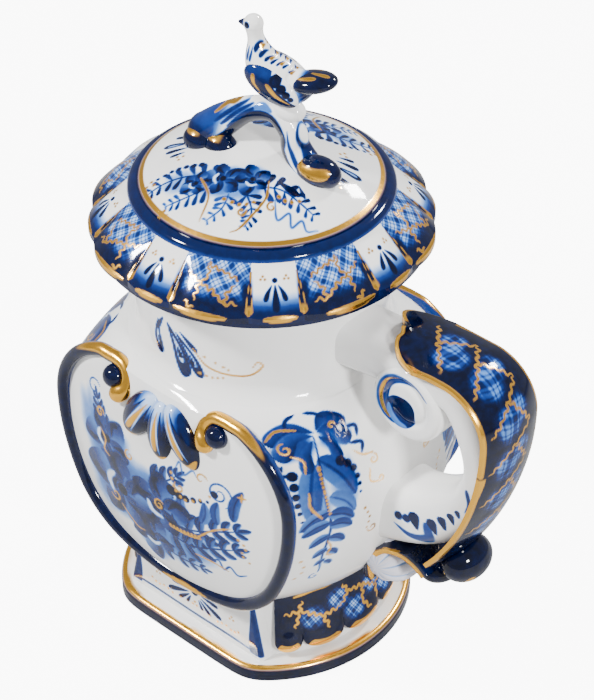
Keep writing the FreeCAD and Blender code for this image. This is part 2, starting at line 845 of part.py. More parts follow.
def make_strap(core_tools):
    """Return the curved strap with its two-lobed leaf end, its back arched and its belly flat."""
    body = new_body("strap_sweep")
    start, side, end, level = ridge_run(NOUGHT)
    tip = size("leaf_reach")
    path = new_sketch(body, "strap_path", "XZ_Plane")
    draw(path, [(tip, start[1]), start, side, end], [None, ("plumb", start[0]), level], closed=False)
    section = new_sketch(body, "strap_section", "YZ_Plane", tip)
    half = size("strap_half_width")
    low = start[1] - size("strap_thickness")
    edge = low + size("strap_edge")
    points = [(-half, low), (half, low), (half, edge), (-half, edge)]
    sag = size("strap_thickness") - size("strap_edge")
    back = (half * half + sag * sag) / (sag * 2)
    draw(section, points, [None, None, ("radius", back, 1), None])
    sweep(body, "strap_pipe", section, path)
    leaf = new_sketch(body, "leaf_end", "XY_Plane", low - size("strap_edge"))
    lobe = size("leaf_lobe")
    clear = tip - lobe
    root = tip + lobe * 2
    wide = half + lobe
    points = [(root, wide), (clear, wide), (clear, -wide), (root, -wide), (root, -half), (tip, -half + lobe),
              (tip + size("leaf_notch"), NOUGHT), (tip, half - lobe), (root, half)]
    curve = ("radius", lobe * 2, -1)
    petal = ("radius", lobe, -1)
    draw(leaf, points, [None, None, None, None, curve, petal, petal, curve, None])
    trim = body.newObject("PartDesign::Pocket", "leaf_trim")
    trim.Profile = leaf
    bind(trim, "Length", size("strap_thickness") * 3)
    trim.Reversed = True
    return cut("handle_strap", body, *core_tools)


def make_core(vessel, volute):
    """Return the white core under the strap, with its arched finger gap."""
    body = new_body("core_block")
    sketch = new_sketch(body, "core_profile", "XZ_Plane")
    start, side, end, level = ridge_run(size("strap_thickness"))
    inner_start, inner_side, _, _ = ridge_run(size("strap_thickness") + size("core_thickness"))
    inside = size("neck_radius") - size("wall") * 2
    deep = size("belly_radius") - size("wall") * 3
    low = size("grip_low_z")
    saddle = size("volute_x") + size("wall") / 4
    grip_x = inner_side[0] - size("grip_lean")
    points = [
        (inside, start[1] - size("core_thickness") * 2), (size("leaf_reach") + size("wall"), start[1]),
        start, side, end, (deep, size("scroll_z") + size("scroll_radius") / 2),
        (deep, low + size("core_thickness")), (saddle, low), (grip_x, low + size("core_thickness")),
        inner_side, inner_start, (size("volute_x"), inner_start[1]),
        (size("volute_x"), size("volute_z")),
        (size("volute_x") - size("root_back"), size("volute_z") - size("root_drop")),
        (inside, shoulder_z - size("wall") * 2),
    ]
    links = [None, None, ("plumb", start[0]), level, None, None, ("plumb", saddle), ("plumb", saddle),
             ("level", inner_side[1]), ("plumb", inner_start[0]), None, None, None, None, None]
    draw(sketch, points, links)
    block = pad(body, "core_pad", sketch, size("core_width"), midplane=True)
    grip = size("volute_x").value + size("core_thickness").value
    rims = ring_edges(block, lambda e: e.BoundBox.YLength < 0.01 and e.BoundBox.XMin > grip - 1.0
                      and isinstance(e.Curve, Part.Circle))
    fillet(body, "core_rims", block, rims, size("core_round"))
    return cut("handle_core", body, vessel, volute)


def make_volute(vessel):
    """Return the roll that closes the handle's upper scroll, with a ball at each end."""
    body = new_body("handle_volute_roll")
    sketch = new_sketch(body, "volute_circle", "XZ_Plane")
    draw_circle(sketch, size("volute_x"), size("volute_z"), size("volute_radius"))
    roll = pad(body, "volute_pad", sketch, size("volute_width"), midplane=True)
    rims = ring_edges(roll, lambda e: e.Closed and isinstance(e.Curve, Part.Circle))
    fillet(body, "volute_rims", roll, rims, size("volute_round"))
    return cut("handle_volute", body, vessel)


def make_scroll(vessel, core):
    """Return the C-scroll band that carries the handle's lower end on the belly."""
    body = new_body("scroll_band")
    sketch = new_sketch(body, "scroll_profile", "XZ_Plane")
    hub_x = size("scroll_x")
    hub_z = size("scroll_z")
    outer = size("scroll_radius")
    inner = outer - size("scroll_band")
    slope = math.sqrt(0.5)
    points = [(hub_x - outer, hub_z - outer / 3), (hub_x - inner, hub_z - outer / 3), (hub_x - inner, hub_z),
              (hub_x, hub_z + inner), (hub_x + inner * slope, hub_z + inner * slope),
              (hub_x + outer * slope, hub_z + outer * slope), (hub_x, hub_z + outer), (hub_x - outer, hub_z)]
    arc = ("level", hub_z)
    draw(sketch, points, [None, None, arc, arc, None, arc, arc, None])
    pad(body, "scroll_pad", sketch, size("scroll_width"), midplane=True)
    return cut("handle_scroll", body, vessel, core)


def make_flutes(vessel):
    """Return the fluted shell that fills the hollow of the C-scroll, beside the belly."""
    flutes = []
    inner = size("scroll_radius") - size("scroll_band")
    for index in range(FLUTES):
        across = size("flute_pitch") * (index - (FLUTES - 1) / 2)
        flutes.append(ellipsoid(
            "flute%d" % index, (size("flute_depth"), size("flute_width") / 2, size("flute_half_height")),
            (size("scroll_x") - size("flute_back"), across, size("scroll_z") + size("flute_lift"))))
    bowl = doc.addObject("Part::Cylinder", "flute_bowl")
    bind(bowl, "Radius", inner)
    bind(bowl, "Height", size("scroll_width") * 2)
    bowl.Placement.Rotation = FreeCAD.Rotation(AXIS_X, 90)
    place(bowl, size("scroll_x"), size("scroll_width"), size("scroll_z"))
    kept = doc.addObject("Part::Common", "handle_shell_kept")
    kept.Base = fuse("handle_shell_whole", *flutes)
    kept.Tool = bowl
    return cut("handle_shell", kept, vessel)


def make_knob(tools):
    """Return the two-lobed dark knob under the strap's lower end."""
    radius = size("knob_radius")
    half = size("knob_width") / 2
    big = ellipsoid("knob_big", (radius, half, radius), (size("knob_x"), NOUGHT, size("knob_z")))
    small = ellipsoid(
        "knob_small", (size("knob_tip_depth"), size("knob_tip_width") / 2, size("knob_tip_height")),
        (size("knob_x") - size("knob_tip_back"), NOUGHT, size("knob_z") - size("knob_tip_drop")))
    return cut("handle_knob", fuse("handle_knob_whole", big, small), *tools)


# Lid: scalloped skirt, bead, dome and collar

def make_skirt():
    """Return the lid's skirt: pairs of wide and narrow petals round a cone, hollow below."""
    body = new_body("lid_skirt")
    wide = size("skirt_wide_angle") / 2
    step = as_dim(FULL_TURN / SKIRT_PAIRS)
    stops = [(-wide, size("skirt_valley")), (NOUGHT, size("skirt_wide_lobe")), (wide, size("skirt_valley")),
             (step / 2, size("skirt_narrow_lobe")), (step - wide, size("skirt_valley"))]
    hole = mouth_radius - size("collar_clearance") - size("collar_wall")

    def sector(name, offset, flat):
        sketch = new_sketch(body, name, "XY_Plane", offset)
        points = []
        for angle, radius in stops:
            reach = size("skirt_top_radius") if flat else radius
            points.append((reach * cosine(angle), reach * sine(angle)))
        far = stops[-1][0]
        points.append((hole * cosine(far), hole * sine(far)))
        points.append((hole * cosine(-wide), hole * sine(-wide)))
        if flat:
            rim = ("radius", size("skirt_top_radius"), 1)
            outer = [rim, rim, rim, rim]
        else:
            broad = ("radius", size("skirt_wide_curve"), 1)
            slim = ("radius", size("skirt_narrow_curve"), 1)
            outer = [broad, broad, slim, slim]
        draw(sketch, points, outer + [None, ("radius", hole, -1), None])
        return sketch

    rim = sector("skirt_rim_outline", rim_z, False)
    brim = sector("skirt_brim_outline", rim_z + size("skirt_rim"), False)
    crown = sector("skirt_crown_outline", skirt_top_z, True)
    band = pad(body, "skirt_rim_band", rim, size("skirt_rim"))
    slope = loft(body, "skirt_slope", [brim, crown])
    around = body.newObject("PartDesign::PolarPattern", "skirt_petals")
    around.Originals = [band, slope]
    around.Axis = (origin_feature(body, "Z_Axis"), [""])
    around.Angle = FULL_TURN
    around.Occurrences = SKIRT_PAIRS
    body.Tip = around
    hollow = new_sketch(body, "skirt_hollow", "XZ_Plane")
    seat = size("skirt_valley") - size("skirt_seat")
    ceiling = skirt_top_z - size("skirt_shell")
    inner = mouth_radius
    points = [(inner, rim_z - size("skirt_rim")), (seat, rim_z - size("skirt_rim")), (seat, rim_z),
              (inner, ceiling)]
    draw(hollow, points, [None, None, None, None])
    turn(body, "skirt_hollowing", hollow, kind="Groove")
    place(body, NOUGHT, NOUGHT, NOUGHT, AXIS_Z, size("skirt_turn"))
    return body


def make_bead():
    """Return the half-round bead between skirt and dome."""
    body = new_body("lid_bead")
    sketch = new_sketch(body, "bead_section", "XZ_Plane")
    outer = size("skirt_top_radius")
    tall = skirt_top_z + size("bead_height")
    points = [(dome_radius, skirt_top_z), (outer, skirt_top_z), (dome_radius, tall)]
    draw(sketch, points, [None, ("radius", size("bead_curve"), 1), None])
    turn(body, "bead_turn", sketch)
    return body


def dome_cap(name, drawn):
    """Return a solid cap that stands on the skirt, drawn in by a wall."""
    body = new_body(name)
    sketch = new_sketch(body, name + "_profile", "XZ_Plane")
    radius = dome_radius - drawn
    points = [(NOUGHT, skirt_top_z), (radius, skirt_top_z), (radius, dome_edge_z - drawn / 2),
              (NOUGHT, dome_top_z - drawn)]
    draw(sketch, points, [None, None, ("plumb", NOUGHT), None])
    turn(body, name + "_turn", sketch)
    return body


def make_collar():
    """Return the collar that drops into the pot's mouth and keeps the lid in place."""
    body = new_body("lid_collar")
    sketch = new_sketch(body, "collar_profile", "XZ_Plane")
    outer = mouth_radius - size("collar_clearance")
    inner = outer - size("collar_wall")
    low = rim_z - size("collar_drop")
    points = [(inner, low), (outer, low), (outer, rim_z), (inner, rim_z)]
    draw(sketch, points, [None, None, None, None])
    turn(body, "collar_turn", sketch)
    return body


# Finial: an arched branch with a bird on it, made along X and then turned on the lid

BRANCH_LEAN = {"toe": -38.0, "arm": -48.0, "bough": -66.0, "perch": -98.0, "leg": -165.0, "shin": -168.0,
               "foot": -120.0}


def ringed_loft(name, leans):
    """Return a body that blends through rings, each at its own run, rise and girth on the lid."""
    body = new_body(name)
    rings = []
    for stage, lean in leans.items():
        rings.append(leaning_sketch(
            body, "%s_%s" % (name, stage), size(stage + "_run"), dome_top_z + size(stage + "_rise"), lean,
            [(NOUGHT, NOUGHT, size(stage + "_girth"))]))
    loft(body, name + "_loft", rings)
    return body


def make_branch(cap):
    """Return the arched branch, with two toes at one foot, a long heel at the other and a saddle on top."""
    body = ringed_loft("branch_arch", BRANCH_LEAN)
    tip = size("toe_tip")
    sole = dome_top_z - size("toe_tip_drop")
    feet = []
    for toe in ("toe_far", "toe_near"):
        feet.append(ellipsoid(toe, (size("toe_length"), tip, tip), (size(toe + "_run"), size(toe + "_side"), sole)))
    feet.append(ellipsoid(
        "heel", (size("heel_length"), size("heel_height"), size("heel_height")),
        (size("heel_run"), size("heel_side"), dome_top_z - size("heel_drop"))))
    saddle = ellipsoid(
        "saddle", (size("saddle_length"), size("saddle_height"), size("saddle_height")),
        (size("saddle_run"), NOUGHT, dome_top_z + size("saddle_rise")))
    whole = fuse("finial_branch_whole", body, saddle, *feet)
    place(whole, NOUGHT, NOUGHT, NOUGHT, AXIS_Z, size("finial_turn"))
    return cut("finial_branch", whole, cap)


BIRD_LEAN = {"tail": 112.0, "rump": 96.0, "bird": 62.0, "breast": 26.0, "nape": 8.0, "head": 14.0}


def make_bird(branch):
    """Return the bird: rings from tail to head, a ball of a head with its beak, a tail and wings."""
    body = ringed_loft("bird_body", BIRD_LEAN)
    head_z = dome_top_z + size("head_rise")
    crown = sphere("bird_head", size("crown_radius"), size("head_run"), NOUGHT, head_z)
    beak = doc.addObject("Part::Cone", "bird_beak")
    bind(beak, "Radius1", size("beak_root"))
    bind(beak, "Radius2", size("beak_tip"))
    bind(beak, "Height", size("beak_length"))
    beak.Placement.Rotation = FreeCAD.Rotation(AXIS_Y, -90)
    place(beak, size("head_run"), NOUGHT, head_z)
    tail = ellipsoid(
        "bird_tail", (size("tail_length") / 2, size("tail_width") / 2, size("tail_thickness") / 2),
        (size("tail_run"), NOUGHT, dome_top_z + size("tail_rise")), AXIS_Y, -size("tail_tilt"))
    wings = []
    for hand, tag in ((1, "a"), (-1, "b")):
        wings.append(ellipsoid(
            "bird_wing_" + tag, (size("wing_length") / 2, size("wing_thickness") / 2, size("wing_depth") / 2),
            (size("wing_run"), size("wing_side") * hand, dome_top_z + size("wing_rise")),
            AXIS_Y, -size("wing_tilt")))
    whole = fuse("finial_bird_whole", body, crown, beak, tail, *wings)
    place(whole, NOUGHT, NOUGHT, NOUGHT, AXIS_Z, size("finial_turn"))
    return cut("finial_bird", whole, branch)


def build():
    """Make every piece and return the objects that are written out."""
    outer = make_vessel("vessel_outer", NOUGHT, outer_neck)
    hollow = make_vessel("vessel_hollow", size("wall"), inner_neck)
    pot = cut("pot_body", outer, hollow, make_strainer_punch())
    foot = make_foot()
    pedestal = make_pedestal(outer)
    aprons = [make_apron("apron_handle_side", 1, outer, pedestal),
              make_apron("apron_spout_side", -1, outer, pedestal)]
    frames = [make_frame("front_frame", -1, outer), make_frame("back_frame", 1, outer)]
    shells = [make_shell("front_shell", -1, outer, frames[0]), make_shell("back_shell", 1, outer, frames[1])]
    volute = make_volute(outer)
    core = make_core(outer, volute)
    strap = make_strap([core])
    scroll = make_scroll(outer, core)
    flutes = make_flutes(outer)
    knob = make_knob([core, strap, scroll, flutes])
    spout = make_spout(outer)
    cap = dome_cap("dome_cap", NOUGHT)
    dome = cut("lid_dome", cap, dome_cap("dome_hollow", size("dome_wall")))
    branch = make_branch(cap)
    lid = [make_skirt(), make_bead(), dome, make_collar(), branch, make_bird(branch)]
    return [pot, foot, pedestal, *aprons, *frames, *shells, volute, core, strap, scroll, flutes, knob, spout, *lid]


def check(pieces):
    """Stop if any object of the document failed, or if a piece is empty or not valid."""
    for item in doc.Objects:
        if "Invalid" in item.State or "Error" in item.State:
            raise RuntimeError("%s failed: %s" % (item.Name, item.State))
    for piece in pieces:
        if piece.Shape.isNull() or not piece.Shape.isValid() or not piece.Shape.Solids:
            raise RuntimeError("%s has no valid solid" % piece.Label)


def main():
    """Build the document, check it and write one file for each piece."""
    pieces = build()
    doc.recompute()
    check(pieces)
    os.makedirs("parts", exist_ok=True)
    for piece in pieces:
        piece.Shape.exportStep("parts/%s.step" % piece.Label)
        print(piece.Label, len(piece.Shape.Solids), round(piece.Shape.Volume, 1))


main()
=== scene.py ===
"""A porcelain teapot, painted in cobalt and gold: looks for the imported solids."""

from __future__ import annotations

import copy
import logging
import math
from dataclasses import dataclass, field
from enum import Enum
from typing import Callable, Optional, Sequence

import bmesh
import bpy
import numpy as np
from mathutils import Matrix, Vector


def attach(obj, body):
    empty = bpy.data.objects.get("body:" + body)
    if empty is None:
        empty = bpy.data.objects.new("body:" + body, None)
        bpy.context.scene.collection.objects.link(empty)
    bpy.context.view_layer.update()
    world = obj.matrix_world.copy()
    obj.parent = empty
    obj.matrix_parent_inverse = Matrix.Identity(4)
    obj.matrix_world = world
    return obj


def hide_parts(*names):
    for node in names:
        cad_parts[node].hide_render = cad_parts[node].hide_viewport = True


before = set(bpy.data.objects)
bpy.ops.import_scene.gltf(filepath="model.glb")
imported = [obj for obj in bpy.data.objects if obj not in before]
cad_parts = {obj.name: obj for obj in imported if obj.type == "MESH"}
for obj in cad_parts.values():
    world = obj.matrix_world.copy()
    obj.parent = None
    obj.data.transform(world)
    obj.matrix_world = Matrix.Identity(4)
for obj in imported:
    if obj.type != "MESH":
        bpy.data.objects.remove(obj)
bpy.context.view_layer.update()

log = logging.getLogger("teapot")
Array = np.ndarray
Point = tuple[float, float]
MM = 0.001
IMAGE_HEIGHT = 700.0
SENSOR = 36.0


class Body(Enum):
    """The two loose parts of the teapot."""

    POT = "pot"
    LID = "lid"


class Coat(Enum):
    """What a brush lays on the porcelain."""

    COBALT = "cobalt"
    GOLD = "gold"


class Brush(Enum):
    """How a stroke's width runs from its start to its end."""

    LINE = "line"
    LEAF = "leaf"
    DROP = "drop"


def ease(low: Array | float, high: Array | float, value: Array) -> Array:
    """Blend smoothly from 0 at low to 1 at high.

    Args:
        low: Where the blend starts; it may lie above high.
        high: Where the blend ends.
        value: The values to blend.

    Returns:
        The blend, as 3k^2 - 2k^3 of the clipped share k.
    """
    share = np.clip((value - low) / (high - low), 0.0, 1.0)
    return share * share * (3.0 - 2.0 * share)


def smooth_curve(stops: Sequence[Point], each: int = 8) -> Array:
    """Draw a curve through stops, with the mean of its neighbours as the slope at each stop.

    Args:
        stops: The points to pass through, in two or three dimensions.
        each: How many steps lie between two stops.

    Returns:
        The curve's points, one row each.
    """
    base = np.asarray(stops, float)
    padded = np.vstack([2 * base[0] - base[1], base, 2 * base[-1] - base[-2]])
    share = np.linspace(0.0, 1.0, each, endpoint=False)[:, None]
    runs = []
    for k in range(1, len(base)):
        a, b, c, d = padded[k - 1], padded[k], padded[k + 1], padded[k + 2]
        runs.append(0.5 * (2 * b + (c - a) * share + (2 * a - 5 * b + 4 * c - d) * share ** 2
                           + (3 * b - a - 3 * c + d) * share ** 3))
    return np.vstack([*runs, base[-1:]])


def lengths(path: Array) -> Array:
    """Give each point's distance along a path from its start."""
    return np.concatenate([[0.0], np.cumsum(np.linalg.norm(np.diff(path, axis=0), axis=1))])


def heading(path: Array) -> Array:
    """Give a path's direction at each point, as rows of unit length."""
    way = np.gradient(path, axis=0)
    return way / np.linalg.norm(way, axis=1, keepdims=True)


def grid_quads(index: Array) -> Array:
    """Give the quads between a grid's rows and columns of indices, four indices to a row."""
    return np.stack([index[:-1, :-1], index[:-1, 1:], index[1:, 1:], index[1:, :-1]], -1).reshape(-1, 4)


def brush_width(brush: Brush, along: Array) -> Array:
    """Give the share of the full half width at each place along a stroke.

    Args:
        brush: The kind of stroke.
        along: Where each point lies along it, 0 to 1.

    Returns:
        The share, 0 to 1.
    """
    if brush is Brush.LEAF:
        return np.sqrt(np.clip(np.sin(np.pi * along ** 0.8), 0.0, 1.0))
    if brush is Brush.DROP:
        return np.clip(along, 0.0, 1.0) ** 0.8 * np.sqrt(np.clip(1.0 - along ** 5, 0.0, 1.0)) * 1.15
    return 0.35 + 0.65 * np.clip(np.minimum(along, 1.0 - along) / 0.2, 0.0, 1.0)


@dataclass
class Canvas:
    """The painted coats of one surface.

    Attributes:
        s: Each point's place across the surface, in mm.
        t: Each point's place up the surface, in mm.
    """

    s: Array
    t: Array
    cobalt: Array = field(init=False)
    gold: Array = field(init=False)

    def __post_init__(self) -> None:
        """Start with bare porcelain."""
        self.s = np.asarray(self.s, float).ravel()
        self.t = np.asarray(self.t, float).ravel()
        self.cobalt = np.zeros(self.s.size)
        self.gold = np.zeros(self.s.size)

    def lay(self, where: Array, mask: Array, tone: Array | float, coat: Coat = Coat.COBALT) -> None:
        """Cover some points with paint.

        Args:
            where: The points' indices.
            mask: How far the paint covers each, 0 to 1.
            tone: How dense the paint is.
            coat: Cobalt, or gold, which lies over it.
        """
        if coat is Coat.GOLD:
            self.gold[where] = np.maximum(self.gold[where], mask)
            return
        self.cobalt[where] = self.cobalt[where] * (1.0 - mask) + tone * mask

    def fill(self, mask: Array, tone: Array | float, coat: Coat = Coat.COBALT) -> None:
        """Cover the whole surface through a mask."""
        self.lay(np.arange(self.s.size), np.asarray(mask, float).ravel(), tone, coat)

    def gilt(self, mask: Array) -> None:
        """Lay gold on the whole surface through a mask."""
        self.fill(mask, 1.0, Coat.GOLD)

    def follow(self, curve: Array, reach: float) -> tuple[Array, Array, Array]:
        """Find the points near a curve, how far along it they lie and how far to its left.

        Args:
            curve: The curve's points.
            reach: How far from the curve to look.

        Returns:
            The points' indices, their share along the curve and their signed distance from it.
        """
        low, high = curve.min(0) - reach, curve.max(0) + reach
        inside = (self.s > low[0]) & (self.s < high[0]) & (self.t > low[1]) & (self.t < high[1])
        where = np.flatnonzero(inside)
        spot = np.stack([self.s[where], self.t[where]], 1)
        start, leg = curve[:-1], np.diff(curve, axis=0)
        length = np.maximum((leg ** 2).sum(1), 1e-9)
        away = spot[:, None, :] - start[None]
        share = np.clip((away * leg[None]).sum(2) / length, 0.0, 1.0)
        gap = away - share[:, :, None] * leg[None]
        apart = (gap ** 2).sum(2)
        nearest = apart.argmin(1) if where.size else np.zeros(0, int)
        pick = np.arange(where.size)
        run = np.concatenate([[0.0], np.cumsum(np.sqrt(length))])
        along = (run[nearest] + share[pick, nearest] * np.sqrt(length)[nearest]) / run[-1]
        side = np.sign(leg[nearest, 0] * away[pick, nearest, 1] - leg[nearest, 1] * away[pick, nearest, 0])
        return where, along, side * np.sqrt(apart[pick, nearest])

    def trace(self, curve: Array, width: float, tone: float = 0.9, brush: Brush = Brush.LINE,
              pale: Optional[float] = None, coat: Coat = Coat.COBALT, soft: float = 0.3) -> None:
        """Draw one brush stroke along the points of a curve.

        Args:
            curve: The points, close together.
            width: The stroke's full width at its widest.
            tone: The paint's density on the left side.
            brush: How the width runs.
            pale: The density on the right side, where the brush carries less paint.
            coat: Which paint.
            soft: How far the edge fades, in mm.
        """
        half = width / 2.0
        where, along, off = self.follow(curve, half + soft)
        reach = half * brush_width(brush, along)
        mask = ease(soft, -soft, np.abs(off) - reach) * (reach > 0.02)
        if pale is not None:
            tone = pale + (tone - pale) * ease(-1.0, 1.0, off / half)
        self.lay(where, mask, tone, coat)

    def stroke(self, stops: Sequence[Point], width: float, tone: float = 0.9, brush: Brush = Brush.LINE,
               pale: Optional[float] = None, coat: Coat = Coat.COBALT, soft: float = 0.3) -> None:
        """Draw one brush stroke along a smooth curve through stops; the rest is as for trace."""
        self.trace(smooth_curve(stops), width, tone, brush, pale, coat, soft)

    def gild(self, stops: Sequence[Point], width: float = 0.7, brush: Brush = Brush.LINE) -> None:
        """Draw one stroke of gold."""
        self.stroke(stops, width, 1.0, brush, None, Coat.GOLD, 0.2)

    def zigzag(self, stops: Sequence[Point], width: float = 0.8, wave: float = 0.5,
               pitch: float = 2.6) -> None:
        """Draw a gold line that trembles to either side as a sine of its length."""
        base = np.asarray(stops, float)
        run = lengths(base)
        place = np.arange(0.0, run[-1], pitch / 6)
        spots = np.stack([np.interp(place, run, base[:, axis]) for axis in (0, 1)], 1)
        way = heading(spots)
        shake = wave * np.sin(2 * math.pi * place / pitch) * (1.0 + 0.4 * np.sin(place * 0.7))
        left = np.stack([-way[:, 1], way[:, 0]], 1)
        self.trace(spots + left * shake[:, None], width, coat=Coat.GOLD, soft=0.18)

    def plaid(self, angle: float, pitch: float, pale: float, dark: float) -> Array:
        """Give the density of two crossed sets of broad bands with a fine line beside each.

        Args:
            angle: The first set's direction, in degrees.
            pitch: The distance between bands.
            pale: The density in the windows between them.
            dark: The density where the two sets cross.

        Returns:
            The density at every point.
        """
        tone = np.full(self.s.size, pale)
        for way in (math.radians(angle), math.radians(angle + 90.0)):
            place = (self.s * math.cos(way) + self.t * math.sin(way)) / pitch
            place = place + 0.06 * np.sin(self.s * 0.5 + self.t * 0.4)
            cell = np.abs(place - np.round(place))
            band = 0.42 * ease(0.22, 0.12, cell) + 0.3 * ease(0.06, 0.03, np.abs(cell - 0.34))
            tone = tone + (dark - pale) * band
        return np.minimum(tone, dark)

    def wash(self, s: float, t: float, wide: float, tall: float, tone: float, turn: float = 0.0) -> None:
        """Lay a soft cloud of thin paint, its edge broken by slow waves.

        Args:
            s: Its centre, across.
            t: Its centre, up.
            wide: Its half width.
            tall: Its half height.
            tone: Its density at the centre.
            turn: How far it is turned, in degrees.
        """
        cosine, sine = math.cos(math.radians(turn)), math.sin(math.radians(turn))
        ds, dt = self.s - s, self.t - t
        a, b = (ds * cosine + dt * sine) / wide, (dt * cosine - ds * sine) / tall
        apart, bearing = np.hypot(a, b), np.arctan2(b, a)
        edge = 1.0 + 0.10 * np.sin(3 * bearing + s) + 0.06 * np.sin(7 * bearing + t)
        where = np.flatnonzero(apart < 1.3)
        mask = ease(edge[where], edge[where] * 0.45, apart[where])
        self.lay(where, mask, np.maximum(self.cobalt[where], tone))

    def moved(self, s: float, t: float, turn: float = 0.0, flip: bool = False,
              scale: float = 1.0) -> "Canvas":
        """Give a view of the same paint with its own origin, direction and scale.

        Args:
            s: The new origin, across.
            t: The new origin, up.
            turn: The new first axis's direction, in degrees.
            flip: Whether the first axis is mirrored.
            scale: How much larger a motif drawn on the view comes out.

        Returns:
            The view; what is painted on it lands on this canvas.
        """
        view = copy.copy(self)
        cosine, sine = math.cos(math.radians(turn)), math.sin(math.radians(turn))
        ds, dt = (self.s - s) / scale, (self.t - t) / scale
        view.s = (ds * cosine + dt * sine) * (-1.0 if flip else 1.0)
        view.t = dt * cosine - ds * sine
        return view

    def dots(self, spots: Sequence[Point], radius: float, tone: float = 0.9,
             coat: Coat = Coat.COBALT) -> None:
        """Touch in round dots."""
        for s, t in spots:
            apart = np.hypot(self.s - s, self.t - t)
            where = np.flatnonzero(apart < radius + 0.5)
            self.lay(where, ease(radius + 0.25, radius - 0.25, apart[where]), tone, coat)

    def leaf(self, s: float, t: float, angle: float, length: float, width: float,
             dark: float = 0.9, pale: float = 0.25, bend: float = 0.15) -> None:
        """Draw a leaf in one loaded stroke, dark along one side, with a dark rib.

        Args:
            s: Where it starts, across.
            t: Where it starts, up.
            angle: Which way it points, in degrees from +s towards +t.
            length: Its length.
            width: Its width.
            dark: The density along its dark side.
            pale: The density along its pale side.
            bend: How far its middle bows to the left, as a share of its length.
        """
        turn = math.radians(angle)
        run = np.array([math.cos(turn), math.sin(turn)]) * length
        side = np.array([-run[1], run[0]]) * bend
        start = np.array([s, t])
        stops = [start, start + run / 2 + side, start + run]
        self.stroke(stops, width, dark, Brush.LEAF, pale)
        self.stroke(stops, width * 0.12, min(dark + 0.1, 1.0), Brush.LINE)

    def drop(self, s: float, t: float, angle: float, length: float, width: float,
             tone: float = 0.9, coat: Coat = Coat.COBALT) -> None:
        """Press one teardrop, thin at its start and round at its end."""
        turn = math.radians(angle)
        end = (s + math.cos(turn) * length, t + math.sin(turn) * length)
        middle = ((s + end[0]) / 2, (t + end[1]) / 2)
        self.stroke([(s, t), middle, end], width, tone, Brush.DROP, coat=coat, soft=0.2)

    def bloom(self, s: float, t: float, radius: float, turn: float = 0.0, dark: float = 0.92) -> None:
        """Paint a loose bloom: broad petals pressed outwards over a cloud, a pale crescent and a dark heart.

        Args:
            s: Its centre, across.
            t: Its centre, up.
            radius: Its outer radius.
            turn: Where its first petal lies, in degrees.
            dark: The density of its darkest strokes.
        """
        hub = np.array([s, t])
        self.wash(s, t, radius * 1.12, radius * 1.02, 0.45, turn)
        petals = ((1.0, 0.42), (0.84, 0.56), (1.06, 0.36), (0.8, 0.5), (0.95, 0.44))
        for k, (size, pale) in enumerate(petals):
            way = math.radians(turn + 72.0 * k)
            out = np.array([math.cos(way), math.sin(way)])
            side = np.array([-out[1], out[0]])
            self.stroke([hub + out * radius * 0.06, hub + out * radius * 0.5 + side * radius * 0.16,
                         hub + out * radius * size - side * radius * 0.1],
                        radius * 0.98 * size, dark, Brush.DROP, pale, soft=radius * 0.05)
            self.stroke([hub + out * radius * 0.3, hub + out * radius * 0.6 + side * radius * 0.3,
                         hub + out * radius * 0.86 * size + side * radius * 0.24],
                        radius * 0.2, min(dark + 0.14, 1.0), Brush.DROP, soft=radius * 0.05)
        hollow = math.radians(turn + 160.0)
        for reach, width, tone, span in ((0.42, 0.2, 0.04, 0.9), (0.26, 0.12, 0.95, 0.8)):
            bow = [(s + radius * reach * math.cos(hollow + step),
                    t + radius * reach * math.sin(hollow + step))
                   for step in (-span, 0.0, span)]
            self.stroke(bow, radius * width, tone, Brush.LEAF, soft=radius * 0.05)
        self.dots([(s, t)], radius * 0.15, 1.0)

    def trail(self, stops: Sequence[Point], count: int, first: float, last: float, tone: float = 0.95,
              coat: Coat = Coat.COBALT) -> None:
        """Touch in dots along a curve, from the first radius to the last."""
        curve = smooth_curve(stops, 12)
        for k in range(count):
            share = k / max(count - 1, 1)
            spot = tuple(curve[int(share * (len(curve) - 1))])
            self.dots([spot], first + (last - first) * share, tone, coat)

    def beads(self, stops: Sequence[Point], count: int, first: float, last: float) -> None:
        """Touch in gold dots along a curve."""
        self.trail(stops, count, first, last, 1.0, Coat.GOLD)

    def fern(self, stops: Sequence[Point], pairs: int, size: float, tone: float = 0.9,
             spread: float = 60.0) -> None:
        """Press pairs of drops off a fine stem, shrinking towards its tip.

        Args:
            stops: The points that the stem passes through.
            pairs: How many pairs it carries.
            size: The length of the first drops.
            tone: The paint's density.
            spread: The angle between stem and drop, in degrees.
        """
        curve = smooth_curve(stops, 12)
        self.stroke(stops, 0.45, tone)
        for k in range(pairs):
            share = k / max(pairs - 1, 1)
            index = min(int((0.1 + 0.88 * share) * (len(curve) - 1)), len(curve) - 2)
            way = math.degrees(math.atan2(*(curve[index + 1] - curve[index])[::-1]))
            length = size * (1.0 - 0.6 * share)
            for hand in (1, -1):
                self.drop(*curve[index], way + hand * spread, length, length * 0.42,
                          tone * (1.0 if hand > 0 else 0.8))

    def trio(self, s: float, t: float, gap: float = 1.1, radius: float = 0.5) -> None:
        """Touch in three gold dots in a triangle."""
        self.dots([(s - gap, t), (s + gap, t), (s, t + gap * 1.5)], radius, 1.0, Coat.GOLD)

